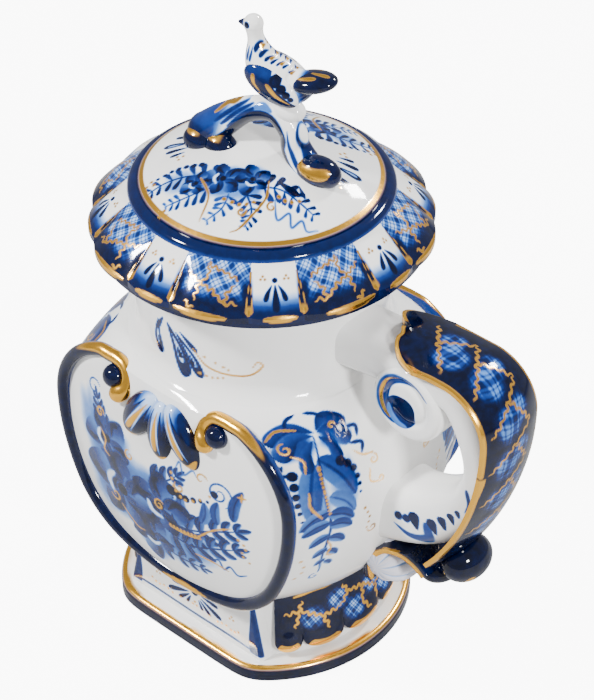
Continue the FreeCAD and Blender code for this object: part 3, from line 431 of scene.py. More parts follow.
    def spray(self, stops: Sequence[Point], leaves: int, size: float, dark: float = 0.85,
              pale: float = 0.25, spread: float = 50.0) -> None:
        """Paint a stem with pairs of leaves that shrink towards its tip.

        Args:
            stops: The points that the stem passes through.
            leaves: How many pairs it carries.
            size: The length of the first leaves.
            dark: The density on the leaves' dark side.
            pale: The density on their pale side.
            spread: The angle between stem and leaf, in degrees.
        """
        curve = smooth_curve(stops)
        self.stroke(stops, 0.7, dark)
        for k in range(leaves):
            share = 0.15 + 0.85 * k / max(leaves - 1, 1)
            index = min(int(share * (len(curve) - 1)), len(curve) - 2)
            way = math.degrees(math.atan2(*(curve[index + 1] - curve[index])[::-1]))
            length = size * (1.0 - 0.55 * share)
            for hand in (1, -1):
                self.leaf(*curve[index], way + hand * spread * (1.0 - 0.3 * share), length, length * 0.5,
                          dark, pale, 0.12 * hand)
        tip = curve[-1] - curve[-2]
        way = math.degrees(math.atan2(tip[1], tip[0]))
        self.leaf(*curve[-1], way, size * 0.5, size * 0.2, dark, pale, 0.0)

    def curl(self, s: float, t: float, radius: float, start: float, turns: float, width: float = 0.6,
             coat: Coat = Coat.GOLD, tone: float = 0.9) -> None:
        """Draw a spiral line that winds in to its centre."""
        share = np.linspace(0.0, 1.0, int(10 * abs(turns)) + 4)
        angle = math.radians(start) + share * turns * 2 * math.pi
        reach = radius * (1.0 - 0.85 * share)
        self.stroke(np.stack([s + reach * np.cos(angle), t + reach * np.sin(angle)], 1), width, tone,
                    coat=coat, soft=0.2)


@dataclass
class Sheet:
    """A grid of points on a surface, with its paint.

    Attributes:
        points: The grid, rows by columns by x, y, z, in mm.
        ring: Whether the last column meets the first.
        inside: A point that the faces look away from.
        inward: Whether the faces look towards that point instead.
        paint: The coats on it, or none for bare porcelain.
    """

    points: Array
    ring: bool = False
    inside: tuple[float, float, float] = (0.0, 0.0, 90.0)
    inward: bool = False
    paint: Optional[Canvas] = None

    def faces(self) -> Array:
        """Give the grid's quads as rows of four indices, turned to face outwards."""
        rows, columns = self.points.shape[:2]
        index = np.arange(rows * columns).reshape(rows, columns)
        if self.ring:
            index = np.hstack([index, index[:, :1]])
        quads = grid_quads(index)
        flat = self.points.reshape(-1, 3)
        a, b, c, d = (flat[quads[:, k]] for k in range(4))
        push = (np.cross(c - a, d - b) * ((a + c) / 2 - np.asarray(self.inside))).sum()
        return quads[:, ::-1] if (push < 0) != self.inward else quads


def finish_mesh(mesh: bpy.types.Mesh, finish: bpy.types.Material, sharp: float) -> None:
    """Shade a mesh smooth, with creases past an angle in degrees, and give it one material."""
    mesh.polygons.foreach_set("use_smooth", np.ones(len(mesh.polygons), bool))
    mesh.set_sharp_from_angle(angle=math.radians(sharp))
    mesh.materials.clear()
    mesh.materials.append(finish)


def make_piece(name: str, body: Body, sheets: Sequence[Sheet], finish: bpy.types.Material,
               nodes: Sequence[str] = (), sharp: float = 40.0) -> bpy.types.Object:
    """Join sheets into one mesh object that rides on a body.

    Args:
        name: The piece's name.
        body: What it rides on.
        sheets: Its surfaces.
        finish: Its material.
        nodes: The solids that it stands for.
        sharp: The angle past which an edge is shaded as a crease, in degrees.

    Returns:
        The object.
    """
    points, quads, count = [], [], 0
    coats = {coat.value: [] for coat in Coat}
    for sheet in sheets:
        flat = sheet.points.reshape(-1, 3)
        points.append(flat)
        quads.append(sheet.faces() + count)
        count += len(flat)
        for coat, rows in coats.items():
            rows.append(np.zeros(len(flat)) if sheet.paint is None else getattr(sheet.paint, coat))
    spots = np.vstack(points) * MM
    faces = np.vstack(quads)
    mesh = bpy.data.meshes.new(name)
    mesh.vertices.add(len(spots))
    mesh.vertices.foreach_set("co", spots.astype(np.float32).ravel())
    mesh.loops.add(faces.size)
    mesh.loops.foreach_set("vertex_index", faces.astype(np.int32).ravel())
    mesh.polygons.add(len(faces))
    mesh.polygons.foreach_set("loop_start", np.arange(0, faces.size, 4, dtype=np.int32))
    for coat, rows in coats.items():
        layer = mesh.attributes.new(coat, "FLOAT", "POINT")
        layer.data.foreach_set("value", np.concatenate(rows).astype(np.float32))
    mesh.update(calc_edges=True)
    mesh.validate()
    finish_mesh(mesh, finish, sharp)
    piece = bpy.data.objects.new(name, mesh)
    bpy.context.scene.collection.objects.link(piece)
    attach(piece, body.value)
    if nodes:
        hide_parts(*nodes)
    log.info("%s: %d faces on %s", name, len(mesh.polygons), body.value)
    return piece


def level_arc(start: Point, end: Point, level: float, count: int) -> Array:
    """Draw the arc between two points whose centre has a given height."""
    (px, py), (qx, qy) = start, end
    cx = (px * px - qx * qx + (py - level) ** 2 - (qy - level) ** 2) / (2.0 * (px - qx))
    first, last = math.atan2(py - level, px - cx), math.atan2(qy - level, qx - cx)
    sweep = (last - first + math.pi) % (2 * math.pi) - math.pi
    angle = first + sweep * np.linspace(0.0, 1.0, count)
    reach = math.hypot(px - cx, py - level)
    return np.stack([cx + reach * np.cos(angle), level + reach * np.sin(angle)], 1)


def line(start: Point, end: Point, count: int) -> Array:
    """Draw a straight run of points."""
    return np.linspace(start, end, count)


def turned(profile: Array, count: int,
           reach: Optional[Callable[[Array, Array], Array]] = None) -> tuple[Array, Array]:
    """Turn a profile of radius and height round the upright axis.

    Args:
        profile: The profile's points, one row each.
        count: How many columns go round.
        reach: Changes the radii by angle, if given.

    Returns:
        The grid of points, and each column's angle.
    """
    angle = np.linspace(-math.pi, math.pi, count, endpoint=False)
    radius = np.repeat(profile[:, :1], count, 1)
    if reach is not None:
        radius = reach(radius, angle[None])
    height = np.repeat(profile[:, 1:2], count, 1)
    return np.stack([radius * np.cos(angle), radius * np.sin(angle), height], -1), angle


def tube(path: Array, radius: Array | float, sides: int = 16,
         up: Sequence[float] = (0.0, 1.0, 0.0)) -> Array:
    """Carry a circle along a path, with its frame kept near a fixed direction.

    Args:
        path: The path's points.
        radius: The radius at each, or one for all.
        sides: How many points go round.
        up: A direction that the path never follows.

    Returns:
        The grid of points.
    """
    way = heading(path)
    side = np.cross(way, np.asarray(up, float))
    side /= np.linalg.norm(side, axis=1, keepdims=True)
    lift = np.cross(side, way)
    angle = np.linspace(0.0, 2 * math.pi, sides, endpoint=False)
    reach = np.broadcast_to(np.asarray(radius, float), len(path))[:, None, None]
    ring = side[:, None] * np.cos(angle)[None, :, None] + lift[:, None] * np.sin(angle)[None, :, None]
    return path[:, None] + ring * reach


def capped(path: Array, radius: Array, steps: int = 7) -> tuple[Array, Array]:
    """Round off both ends of a tube's path with half balls.

    Args:
        path: The path's points.
        radius: The radius at each.
        steps: How many rings each end takes.

    Returns:
        The longer path and its radii, nought at both ends.
    """
    lift = np.linspace(0.0, math.pi / 2, steps + 1)[1:]
    runs = []
    for end, inner in ((0, 1), (-1, -2)):
        way = path[end] - path[inner]
        way = way / np.linalg.norm(way)
        runs.append((path[end] + way * (radius[end] * np.sin(lift))[:, None], radius[end] * np.cos(lift)))
    (head, thin), (tail, slim) = runs
    return np.vstack([head[::-1], path, tail]), np.concatenate([thin[::-1], radius, slim])


def even(path: Array, step: float) -> Array:
    """Lay points along a path at equal steps."""
    run = lengths(path)
    place = np.linspace(0.0, run[-1], int(run[-1] / step) + 2)
    return np.stack([np.interp(place, run, path[:, axis]) for axis in range(path.shape[1])], 1)


def ball(centre: Sequence[float], radii: Sequence[float], tilt: float = 0.0, rows: int = 40,
         columns: int = 56) -> Array:
    """Draw an ellipsoid by latitude and longitude, tipped about the y axis.

    Args:
        centre: Its centre.
        radii: Its half lengths along x, y and z before it is tipped.
        tilt: How far it is tipped, in degrees.
        rows: How many rings it takes from pole to pole.
        columns: How many points go round.

    Returns:
        The grid of points.
    """
    up = np.linspace(-math.pi / 2, math.pi / 2, rows)[:, None]
    bearing = np.linspace(0.0, 2 * math.pi, columns, endpoint=False)[None]
    local = np.stack([np.cos(up) * np.cos(bearing) * radii[0], np.cos(up) * np.sin(bearing) * radii[1],
                      np.broadcast_to(np.sin(up), (rows, columns)) * radii[2]], -1)
    sine, cosine = math.sin(math.radians(tilt)), math.cos(math.radians(tilt))
    spin = np.array([[cosine, 0.0, sine], [0.0, 1.0, 0.0], [-sine, 0.0, cosine]])
    return local @ spin.T + np.asarray(centre, float)


def painted_solid(name: str, node: str, body: Body, finish: bpy.types.Material, limit: float,
                  painter: Callable[[Array], Canvas]) -> bpy.types.Object:
    """Copy a solid's mesh, split its long edges and paint its points.

    Args:
        name: The piece's name.
        node: The solid that it stands for.
        body: What it rides on.
        finish: Its material.
        limit: The longest edge left, in mm.
        painter: Paints the points, given in mm.

    Returns:
        The object.
    """
    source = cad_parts[node]
    work = bmesh.new()
    work.from_mesh(source.data)
    work.transform(source.matrix_world)
    bmesh.ops.remove_doubles(work, verts=work.verts, dist=2e-6)
    for _ in range(7):
        long = [edge for edge in work.edges if edge.calc_length() > limit * MM]
        if not long:
            break
        bmesh.ops.subdivide_edges(work, edges=long, cuts=1)
        bmesh.ops.triangulate(work, faces=work.faces)
    mesh = bpy.data.meshes.new(name)
    work.to_mesh(mesh)
    work.free()
    spots = np.empty(len(mesh.vertices) * 3, np.float32)
    mesh.vertices.foreach_get("co", spots)
    paint = painter(spots.reshape(-1, 3).astype(float) / MM)
    for coat in Coat:
        layer = mesh.attributes.new(coat.value, "FLOAT", "POINT")
        layer.data.foreach_set("value", getattr(paint, coat.value).astype(np.float32))
    finish_mesh(mesh, finish, 35.0)
    piece = bpy.data.objects.new(name, mesh)
    bpy.context.scene.collection.objects.link(piece)
    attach(piece, body.value)
    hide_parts(node)
    log.info("%s: %d faces on %s", name, len(mesh.polygons), body.value)
    return piece


class Wire:
    """A value or colour in a material, with Python's operators as Math nodes."""

    def __init__(self, recipe: "Recipe", socket: bpy.types.NodeSocket) -> None:
        """Hold a socket of a recipe's nodes."""
        self.recipe = recipe
        self.socket = socket

    def _math(self, operation: str, *values: "Wire | float") -> "Wire":
        """Add one Math node."""
        return self.recipe.node("ShaderNodeMath", {"operation": operation}, dict(enumerate(values)))

    def __add__(self, other: "Wire | float") -> "Wire":
        """Add."""
        return self._math("ADD", self, other)

    def __mul__(self, other: "Wire | float") -> "Wire":
        """Multiply."""
        return self._math("MULTIPLY", self, other)

    __radd__ = __add__
    __rmul__ = __mul__


class Recipe:
    """The nodes of one material."""

    def __init__(self, name: str) -> None:
        """Start an empty material with its output."""
        self.material = bpy.data.materials.new(name)
        self.material.use_nodes = True
        self.tree = self.material.node_tree
        self.tree.nodes.clear()

    def node(self, kind: str, settings: dict, inputs: dict, output: int | str = 0) -> Wire:
        """Add one node.

        Args:
            kind: The node's type.
            settings: Its properties, set first; stops are a ramp's places and colours.
            inputs: Values or wires by socket.
            output: Which output to return.

        Returns:
            That output.
        """
        node = self.tree.nodes.new(kind)
        for key, value in settings.items():
            if key != "stops":
                setattr(node, key, value)
                continue
            while len(node.color_ramp.elements) < len(value):
                node.color_ramp.elements.new(1.0)
            for element, (place, colour) in zip(node.color_ramp.elements, value):
                element.position = place
                element.color = (*colour, 1.0)
        for key, value in inputs.items():
            if isinstance(value, Wire):
                self.tree.links.new(value.socket, node.inputs[key])
            else:
                node.inputs[key].default_value = value
        return Wire(self, node.outputs[output] if len(node.outputs) else None)


@dataclass(frozen=True)
class Glaze:
    """Painted porcelain under a clear glaze, with burnished gold.

    Attributes:
        name: The material's name.
        ground: The bare body's colour.
        blues: The paint's colours from a thin wash to a full load, by density.
        leaf: The gold's colour.
        gloss: The glaze's roughness.
    """

    name: str
    ground: tuple[float, float, float] = (0.87, 0.865, 0.85)
    blues: tuple = ((0.10, (0.44, 0.58, 0.83)), (0.32, (0.06, 0.19, 0.53)), (0.58, (0.004, 0.032, 0.19)),
                    (0.80, (0.001, 0.007, 0.055)), (1.0, (0.0006, 0.002, 0.012)))
    leaf: tuple[float, float, float] = (0.98, 0.51, 0.06)
    gloss: float = 0.07

    def make(self) -> bpy.types.Material:
        """Build the material from the piece's painted coats."""
        recipe = Recipe(self.name)
        place = recipe.node("ShaderNodeTexCoord", {}, {}, "Object")
        cobalt = recipe.node("ShaderNodeAttribute", {"attribute_name": Coat.COBALT.value}, {}, "Fac")
        gold = recipe.node("ShaderNodeAttribute", {"attribute_name": Coat.GOLD.value}, {}, "Fac")
        pooling = recipe.node("ShaderNodeTexNoise", {}, {"Vector": place, "Scale": 420.0, "Detail": 3.0})
        density = cobalt * (0.88 + 0.24 * pooling)
        blue = recipe.node("ShaderNodeValToRGB", {"stops": [(0.0, self.ground), *self.blues]},
                           {"Fac": density})
        colour = recipe.node("ShaderNodeMix", {"data_type": "RGBA"},
                             {0: gold, 6: blue, 7: (*self.leaf, 1.0)}, 2)
        worn = recipe.node("ShaderNodeTexNoise", {}, {"Vector": place, "Scale": 900.0, "Detail": 2.0})
        dull = self.gloss + gold * (0.07 + 0.18 * worn)
        flow = recipe.node("ShaderNodeTexNoise", {}, {"Vector": place, "Scale": 55.0, "Detail": 1.0})
        relief = flow * 0.5 + gold * 0.2
        bump = recipe.node("ShaderNodeBump", {}, {"Strength": 0.12, "Distance": 0.0006, "Height": relief})
        shade = recipe.node("ShaderNodeBsdfPrincipled", {}, {
            "Base Color": colour, "Metallic": gold, "Roughness": dull, "Normal": bump, "IOR": 1.43})
        recipe.node("ShaderNodeOutputMaterial", {}, {"Surface": shade})
        return recipe.material


@dataclass
class Vessel:
    """The belly, its two domed panels, the neck and the hollow inside, in mm."""

    base_z: float = 34.8
    base_radius: float = 46.0
    belly_radius: float = 70.5
    belly_z: float = 88.0
    shoulder_radius: float = 50.0
    shoulder_z: float = 131.0
    flat_depth: float = 49.5
    bulge: float = 7.5
    curve: float = 200.0
    wall: float = 4.0
    frame_low: float = 36.8
    frame_wide: float = 57.0
    frame_wide_z: float = 96.5
    frame_top: Point = (34.0, 128.3)
    bottom_curve: float = 95.4
    side_curve: float = 84.6
    corner_curve: float = 37.0
    neck_radius: float = 46.5
    crease_z: float = 138.0
    flare_z: float = 164.0
    flange_radius: float = 60.5
    flange_z: float = 174.2
    rim_z: float = 176.5
    mouth_radius: float = 42.5
    mouth_drop: float = 6.0
    sprig_at: Point = (-74.0, 148.0)
    sprig_scale: float = 1.22
    overlap: float = 0.3
    panel_spread: float = 1.02
    lip_rise: float = 1.0

    def outline(self, inset: float, counts: Sequence[int]) -> Array:
        """Draw the cartouche's right half from the middle of its bottom to its top.

        A shallow bottom arc, a corner arc tangent to it and to the long side, and a lobe.

        Args:
            inset: How far it is drawn in.
            counts: How many points each of the four arcs takes.

        Returns:
            The points, x and z.
        """
        wide, low = self.frame_wide - inset, self.frame_low + inset
        bottom = np.array([0.0, low + self.bottom_curve])
        side = np.array([wide - self.side_curve, self.frame_wide_z])
        corner = self.corner_curve - inset
        from_bottom, from_side = self.bottom_curve - corner, self.side_curve - corner
        gap = side - bottom
        apart = math.hypot(*gap)
        step = (apart ** 2 + from_bottom ** 2 - from_side ** 2) / (2 * apart)
        lift = math.sqrt(from_bottom ** 2 - step ** 2)
        axis = gap / apart
        centre = bottom + axis * step + np.array([-axis[1], axis[0]]) * lift
        if centre[0] < 0:
            centre = bottom + axis * step - np.array([-axis[1], axis[0]]) * lift
        turn_a = math.atan2(*(centre - bottom)[::-1])
        turn_b = math.atan2(*(centre - side)[::-1])
        runs = []
        for hub, reach, first, last, count in (
                (bottom, self.bottom_curve, -math.pi / 2, turn_a, counts[0]),
                (centre, corner, turn_a, turn_b, counts[1]),
                (side, self.side_curve, turn_b, 0.0, counts[2])):
            angle = np.linspace(first, last, count, endpoint=False)
            runs.append(np.stack([hub[0] + reach * np.cos(angle), hub[1] + reach * np.sin(angle)], 1))
        top = (self.frame_top[0] - inset, self.frame_top[1] - inset)
        runs.append(level_arc((wide, self.frame_wide_z), top, self.frame_wide_z, counts[3]))
        return np.vstack(runs)

    def profile(self, inset: float, counts: Sequence[int]) -> Array:
        """Draw the belly's side view with the same counts: a flat base, an arc in two runs, the shoulder."""
        low = (self.base_radius - inset, self.base_z + inset)
        wide = (self.belly_radius - inset, self.belly_z)
        top = (self.shoulder_radius - inset, self.shoulder_z - inset)
        rise = level_arc(low, wide, self.belly_z, 400)
        half = np.abs(rise[:, 1] - (low[1] + wide[1]) / 2).argmin()
        lower = rise[np.linspace(0, half, counts[1], endpoint=False).astype(int)]
        upper = rise[np.linspace(half, 399, counts[2], endpoint=False).astype(int)]
        flat = np.linspace((0.0, low[1]), low, counts[0], endpoint=False)
        return np.vstack([flat, lower, upper, level_arc(wide, top, self.belly_z, counts[3])])

    def side(self, hand: int, inset: float, counts: Sequence[int], columns: int) -> Array:
        """Blend from the cartouche at the front, through the side view, to the cartouche at the back.

        The blend's weight is 1 - (y / depth)^2.
        """
        rim, swell = self.outline(inset, counts), self.profile(inset, counts)
        depth = self.flat_depth - inset
        y = np.linspace(-depth, depth, columns)
        weight = (1.0 - (y / depth) ** 2)[None, :, None]
        flat = rim[:, None] + (swell - rim)[:, None] * weight
        return np.stack([flat[..., 0] * hand, np.broadcast_to(y, flat.shape[:2]), flat[..., 1]], -1)

    def panel(self, hand: int, inset: float, rows: int, columns: int) -> Array:
        """Lay a shallow ball across one cartouche, row by row up its outline."""
        rim = self.outline(inset, (60, 60, 60, 60))
        share = np.linspace(0.0, 1.0, rows) ** 1.15
        z = rim[0, 1] + (rim[-1, 1] - rim[0, 1]) * share
        x = np.interp(z, rim[:, 1], rim[:, 0])[:, None] * np.linspace(-1.0, 1.0, columns)[None]
        z = np.broadcast_to(z[:, None], x.shape)
        return np.stack([x, hand * self.depth(x, z, inset), z], -1)

    def depth(self, x: Array, z: Array, inset: float = 0.0) -> Array:
        """Give the panel's distance from the middle plane: the crown less the ball's sag."""
        curve = self.curve - inset
        rise = np.sqrt(curve ** 2 - x ** 2 - (z - self.belly_z) ** 2)
        return self.flat_depth + self.bulge - inset - curve + rise

    def deck(self) -> Array:
        """Bridge from the neck's root out to the belly's upper edges, along rays from the axis."""
        y = np.linspace(-1.0, 1.0, 200)
        weight = 1.0 - y ** 2
        top_x, top_z = self.frame_top
        flank = np.stack([top_x + (self.shoulder_radius - top_x) * weight, y * self.flat_depth,
                          top_z + (self.shoulder_z - top_z) * weight], 1)
        x = np.linspace(top_x, -top_x, 120)[1:-1]
        brow = np.stack([x, self.depth(x, np.full_like(x, top_z)), np.full_like(x, top_z)], 1)
        edge = np.vstack([flank, brow, flank * (-1.0, -1.0, 1.0), brow * (-1.0, -1.0, 1.0)])
        bearing = np.arctan2(edge[:, 1], edge[:, 0])
        order = np.argsort(bearing)
        angle = np.linspace(-math.pi, math.pi, 480, endpoint=False)
        rim = [np.interp(angle, bearing[order], value[order], period=2 * math.pi)
               for value in (np.hypot(edge[:, 0], edge[:, 1]), edge[:, 2])]
        share = np.linspace(0.0, 1.0, 14)[:, None]
        inner = self.shoulder_radius - 0.4
        reach = inner + (np.maximum(rim[0], inner) - inner) * share
        z = self.shoulder_z + (rim[1] - self.shoulder_z) * share ** 1.5
        return np.stack([reach * np.cos(angle), reach * np.sin(angle), z], -1)

    def neck_profile(self) -> Array:
        """Draw the neck: a fillet off the shoulder, a throat, a trumpet flare, the rim and the mouth."""
        crease, flare = (self.neck_radius, self.crease_z), (self.neck_radius, self.flare_z)
        flange, rim = (self.flange_radius, self.flange_z), (self.flange_radius, self.rim_z)
        mouth = (self.mouth_radius, self.rim_z)
        return np.vstack([
            level_arc((self.shoulder_radius, self.shoulder_z), crease, self.crease_z, 20),
            line(crease, flare, 70)[1:],
            level_arc(flare, flange, self.flare_z, 34)[1:],
            line(flange, rim, 6)[1:],
            line(rim, mouth, 12)[1:],
            line(mouth, (self.mouth_radius, self.shoulder_z - self.mouth_drop), 20)[1:],
        ])

    def dress(self, glaze: bpy.types.Material) -> None:
        """Build the pot's outer and inner skins and paint them."""
        self.make_belly(glaze)
        self.make_neck(glaze)
        self.make_inside(glaze)

    def make_belly(self, glaze: bpy.types.Material) -> None:
        """Build the belly's two sides and its two domed panels."""
        counts = (12, 88, 68, 98)
        for hand, name in ((1, "belly_handle_side"), (-1, "belly_spout_side")):
            grid = self.side(hand, 0.0, counts, 200)
            climb = np.cumsum(np.linalg.norm(np.diff(grid, axis=0, prepend=grid[:1]), axis=2), 0)
            waist = sum(counts[:3])
            paint = Canvas(grid[..., 1] * hand, climb - climb[waist] + grid[waist, :, 2])
            self.paint_side(paint)
            make_piece(name, Body.POT, [Sheet(grid, paint=paint)], glaze)
        for hand, name in ((-1, "belly_front_panel"), (1, "belly_back_panel")):
            grid = self.panel(hand, 0.0, 212, 256)
            paint = Canvas(grid[..., 0] * -hand, grid[..., 2])
            self.paint_panel(paint)
            make_piece(name, Body.POT, [Sheet(grid, paint=paint)], glaze)

    def make_neck(self, glaze: bpy.types.Material) -> None:
        """Build the neck, out over its flange and down inside the mouth."""
        grid, angle = turned(self.neck_profile(), 430)
        arc = np.broadcast_to(angle * self.neck_radius, grid.shape[:2])
        paint = Canvas(arc, grid[..., 2])
        self.paint_neck(paint, grid)
        make_piece("neck", Body.POT, [Sheet(grid, True, (0.0, 0.0, 60.0), paint=paint)], glaze)

    def make_inside(self, glaze: bpy.types.Material) -> None:
        """Build the hollow's skins, one wall inside the belly, and the deck between belly and neck."""
        skins = [self.side(hand, self.wall, (8, 24, 20, 26), 50) for hand in (1, -1)]
        for hand, skin in zip((1, -1), skins):
            skin[0, :, 0] = -self.overlap * hand
        skins += [self.panel(hand, self.wall, 60, 60) * (self.panel_spread, 1.0, 1.0) for hand in (1, -1)]
        lift = np.array([0.0, 0.0, self.wall + self.lip_rise])
        inner = [Sheet(np.concatenate([skin, skin[-1:] + lift]), inward=True) for skin in skins]
        deck = Sheet(self.deck(), True, (0.0, 0.0, 90.0))
        make_piece("pot_inside", Body.POT, [*inner, deck], glaze, ["pot_body"])

    def paint_side(self, paint: Canvas) -> None:
        """Paint one hanging bouquet beside each cartouche: blooms, leaves, beads and gold tendrils."""
        for view in (paint, paint.moved(0.0, 0.0, flip=True)):
            view.wash(-39.0, 106.0, 7.0, 13.0, 0.3, 6.0)
            view.wash(-27.0, 106.0, 6.5, 12.0, 0.3, -14.0)
            view.leaf(-36.0, 118.0, -103.0, 24.0, 9.0, 0.62, 0.42, -0.08)
            view.leaf(-33.5, 119.0, -62.0, 20.0, 10.0, 0.66, 0.44, 0.06)
            view.leaf(-34.0, 104.0, -48.0, 13.0, 7.0, 0.5, 0.3, 0.1)
            view.wash(-38.5, 126.5, 9.5, 7.5, 0.66, 20.0)
            view.wash(-24.0, 126.0, 7.0, 7.5, 0.66, -20.0)
            for stops, width, pale in (
                    ([(-30.0, 128.5), (-37.0, 133.0), (-46.5, 129.5)], 8.0, 0.6),
                    ([(-31.0, 127.5), (-38.0, 129.0), (-46.0, 122.5)], 8.5, 0.5),
                    ([(-32.0, 126.0), (-36.5, 122.0), (-39.0, 115.0)], 6.5, 0.55),
                    ([(-29.0, 129.0), (-24.0, 132.5), (-18.0, 127.0)], 7.5, 0.6),
                    ([(-29.0, 128.5), (-23.5, 127.5), (-19.5, 120.5)], 8.0, 0.5),
                    ([(-29.5, 127.0), (-26.5, 122.0), (-26.0, 115.5)], 5.5, 0.55)):
                view.stroke(stops, width, 0.84, Brush.DROP, pale)
            for stops in ([(-38.0, 133.0), (-36.0, 136.0), (-32.0, 137.5)],
                          [(-24.0, 132.5), (-26.0, 135.0), (-29.0, 136.5)],
                          [(-47.0, 124.5), (-49.0, 122.0), (-46.5, 120.0)],
                          [(-46.0, 120.5), (-48.0, 117.5), (-45.0, 116.5)],
                          [(-18.5, 126.0), (-15.0, 125.0), (-16.0, 121.5)],
                          [(-20.0, 120.0), (-15.5, 118.5), (-17.0, 115.0)]):
                view.stroke(stops, 1.3, 0.8)
            view.stroke([(-31.0, 127.0), (-35.0, 111.0), (-35.6, 100.0), (-34.8, 91.0), (-36.6, 77.0),
                         (-36.0, 66.0)], 0.8, 0.8)
            view.trail([(-44.3, 116.0), (-45.6, 109.0), (-45.8, 103.0), (-45.0, 97.0)], 6, 1.9, 0.5, 0.95)
            view.trail([(-26.0, 115.5), (-22.6, 112.0), (-21.6, 106.0), (-22.0, 101.0)], 6, 1.9, 0.45, 0.95)
            for start, length, width, tilt in ((98.0, 12.0, 5.6, 62.0), (93.0, 10.5, 5.0, 70.0),
                                               (87.0, 8.0, 4.2, 58.0), (80.0, 6.0, 3.3, 52.0),
                                               (74.0, 4.4, 2.5, 46.0)):
                view.leaf(-35.3, start, -90.0 - tilt, length, width, 0.7, 0.35, -0.1)
                view.leaf(-35.3, start - 1.5, -90.0 + tilt, length * 0.9, width, 0.7, 0.35, 0.1)
            view.curl(-37.0, 63.5, 2.0, 90.0, 1.0, 0.5, Coat.COBALT, 0.6)
            view.beads([(-34.6, 116.0), (-35.4, 106.0), (-35.0, 97.0)], 14, 0.55, 0.45)
            view.gild([(-46.0, 131.0), (-41.0, 133.6), (-35.0, 131.6)])
            view.curl(-42.0, 126.0, 2.6, 80.0, 1.2, 0.6)
            view.gild([(-41.5, 123.0), (-38.5, 120.0), (-39.6, 115.5)])
            view.curl(-23.0, 128.5, 1.6, 0.0, 0.8, 0.6)
            view.gild([(-20.0, 117.0), (-17.0, 114.0), (-12.5, 113.0)])
            view.curl(-13.5, 110.5, 2.2, 90.0, -1.2, 0.6)
            view.gild([(-16.0, 108.0), (-17.0, 103.0), (-12.5, 101.0)])
            view.curl(-12.5, 102.2, 1.4, -90.0, 1.0, 0.6)
            view.gild([(-41.0, 108.0), (-41.5, 102.0), (-38.0, 96.0)], 0.8)
            view.gild([(-35.6, 84.0), (-34.0, 80.0), (-35.0, 76.5), (-32.5, 75.0)])
            view.beads([(-21.0, 93.0), (-19.0, 88.0), (-20.0, 83.0)], 5, 0.6, 0.4)
            view.curl(-17.5, 82.0, 2.2, 180.0, 1.1, 0.55)
            view.beads([(-44.0, 76.0), (-42.0, 70.0), (-44.0, 65.0)], 4, 0.6, 0.5)

    def paint_panel(self, paint: Canvas) -> None:
        """Paint the bouquet: three dark blooms to the left, leaf sprays to the right and gold scribbles."""
        paint.wash(-22.0, 76.0, 25.0, 24.0, 0.46, 30.0)
        paint.wash(6.0, 62.0, 26.0, 13.0, 0.36, 12.0)
        paint.wash(-38.0, 92.0, 8.0, 22.0, 0.28, 10.0)
        for stops, count, size in (
                ([(2.0, 71.0), (14.0, 73.0), (26.0, 79.0), (36.0, 84.0)], 6, 12.5),
                ([(0.0, 66.0), (12.0, 64.0), (24.0, 69.0), (35.0, 74.0)], 6, 12.0),
                ([(-4.0, 86.0), (4.0, 92.0), (9.0, 97.0)], 4, 10.0),
                ([(-26.0, 92.0), (-32.0, 100.0), (-35.0, 108.0)], 5, 8.0),
                ([(-10.0, 56.0), (4.0, 53.0), (18.0, 54.0)], 5, 8.0)):
            paint.spray(stops, count, size, 0.8, 0.45, 52.0)
        paint.leaf(34.0, 88.0, 76.0, 16.0, 5.0, 0.72, 0.5, 0.08)
        paint.leaf(27.0, 83.0, 88.0, 11.0, 4.6, 0.66, 0.45, 0.1)
        paint.leaf(20.0, 80.0, 82.0, 11.0, 5.0, 0.6, 0.4, -0.1)
        paint.leaf(12.0, 79.0, 96.0, 11.0, 4.5, 0.6, 0.4, 0.1)
        paint.bloom(-29.0, 92.0, 12.5, 40.0, 0.8)
        paint.bloom(-8.0, 57.0, 12.0, 120.0, 0.78)
        paint.bloom(-22.0, 71.0, 18.5, 10.0, 0.86)
        paint.bloom(-1.0, 77.0, 15.0, 75.0, 0.9)
        paint.trail([(6.0, 88.5), (12.0, 88.0), (18.0, 90.0), (23.0, 92.0)], 6, 2.3, 0.6, 1.0)
        paint.curl(28.0, 98.0, 6.0, -60.0, 1.6, 0.7, Coat.COBALT, 0.6)
        paint.dots([(26.0, 97.0)], 1.6, 0.95)
        paint.curl(-37.0, 111.0, 4.0, 30.0, 1.2, 0.6, Coat.COBALT, 0.6)
        paint.stroke([(22.0, 61.0), (26.0, 64.0), (28.0, 60.0), (31.0, 63.0), (34.0, 60.0), (38.0, 62.0)],
                     0.8, 0.65)
        paint.stroke([(8.0, 100.0), (10.0, 104.0), (12.0, 99.0), (16.0, 103.0), (18.0, 101.0)], 0.7, 0.5)
        for s, t, radius, start, turns in ((-1.0, 77.0, 2.8, 40.0, 1.3), (-27.0, 65.0, 3.2, 200.0, 1.1),
                                           (-16.0, 92.0, 2.6, 90.0, 1.2), (-33.0, 102.0, 2.4, 0.0, 1.3),
                                           (10.0, 92.0, 2.6, 150.0, 1.0), (20.0, 101.0, 3.0, 20.0, 0.8)):
            paint.curl(s, t, radius, start, turns, 0.75)
        paint.gild([(4.0, 69.0), (12.0, 69.5), (19.0, 71.0)], 0.9)
        paint.beads([(4.0, 69.8), (11.0, 70.2), (18.0, 71.8)], 9, 0.6, 0.6)
        paint.gild([(17.0, 71.0), (25.0, 79.0), (33.0, 84.0)])
        paint.gild([(15.0, 61.0), (24.0, 61.0), (30.0, 60.0)])
        paint.gild([(-24.0, 62.0), (-20.0, 58.0), (-16.0, 55.0), (-12.0, 55.5)])
        paint.gild([(-33.0, 95.0), (-30.0, 91.0), (-31.0, 86.0), (-28.0, 84.0)])
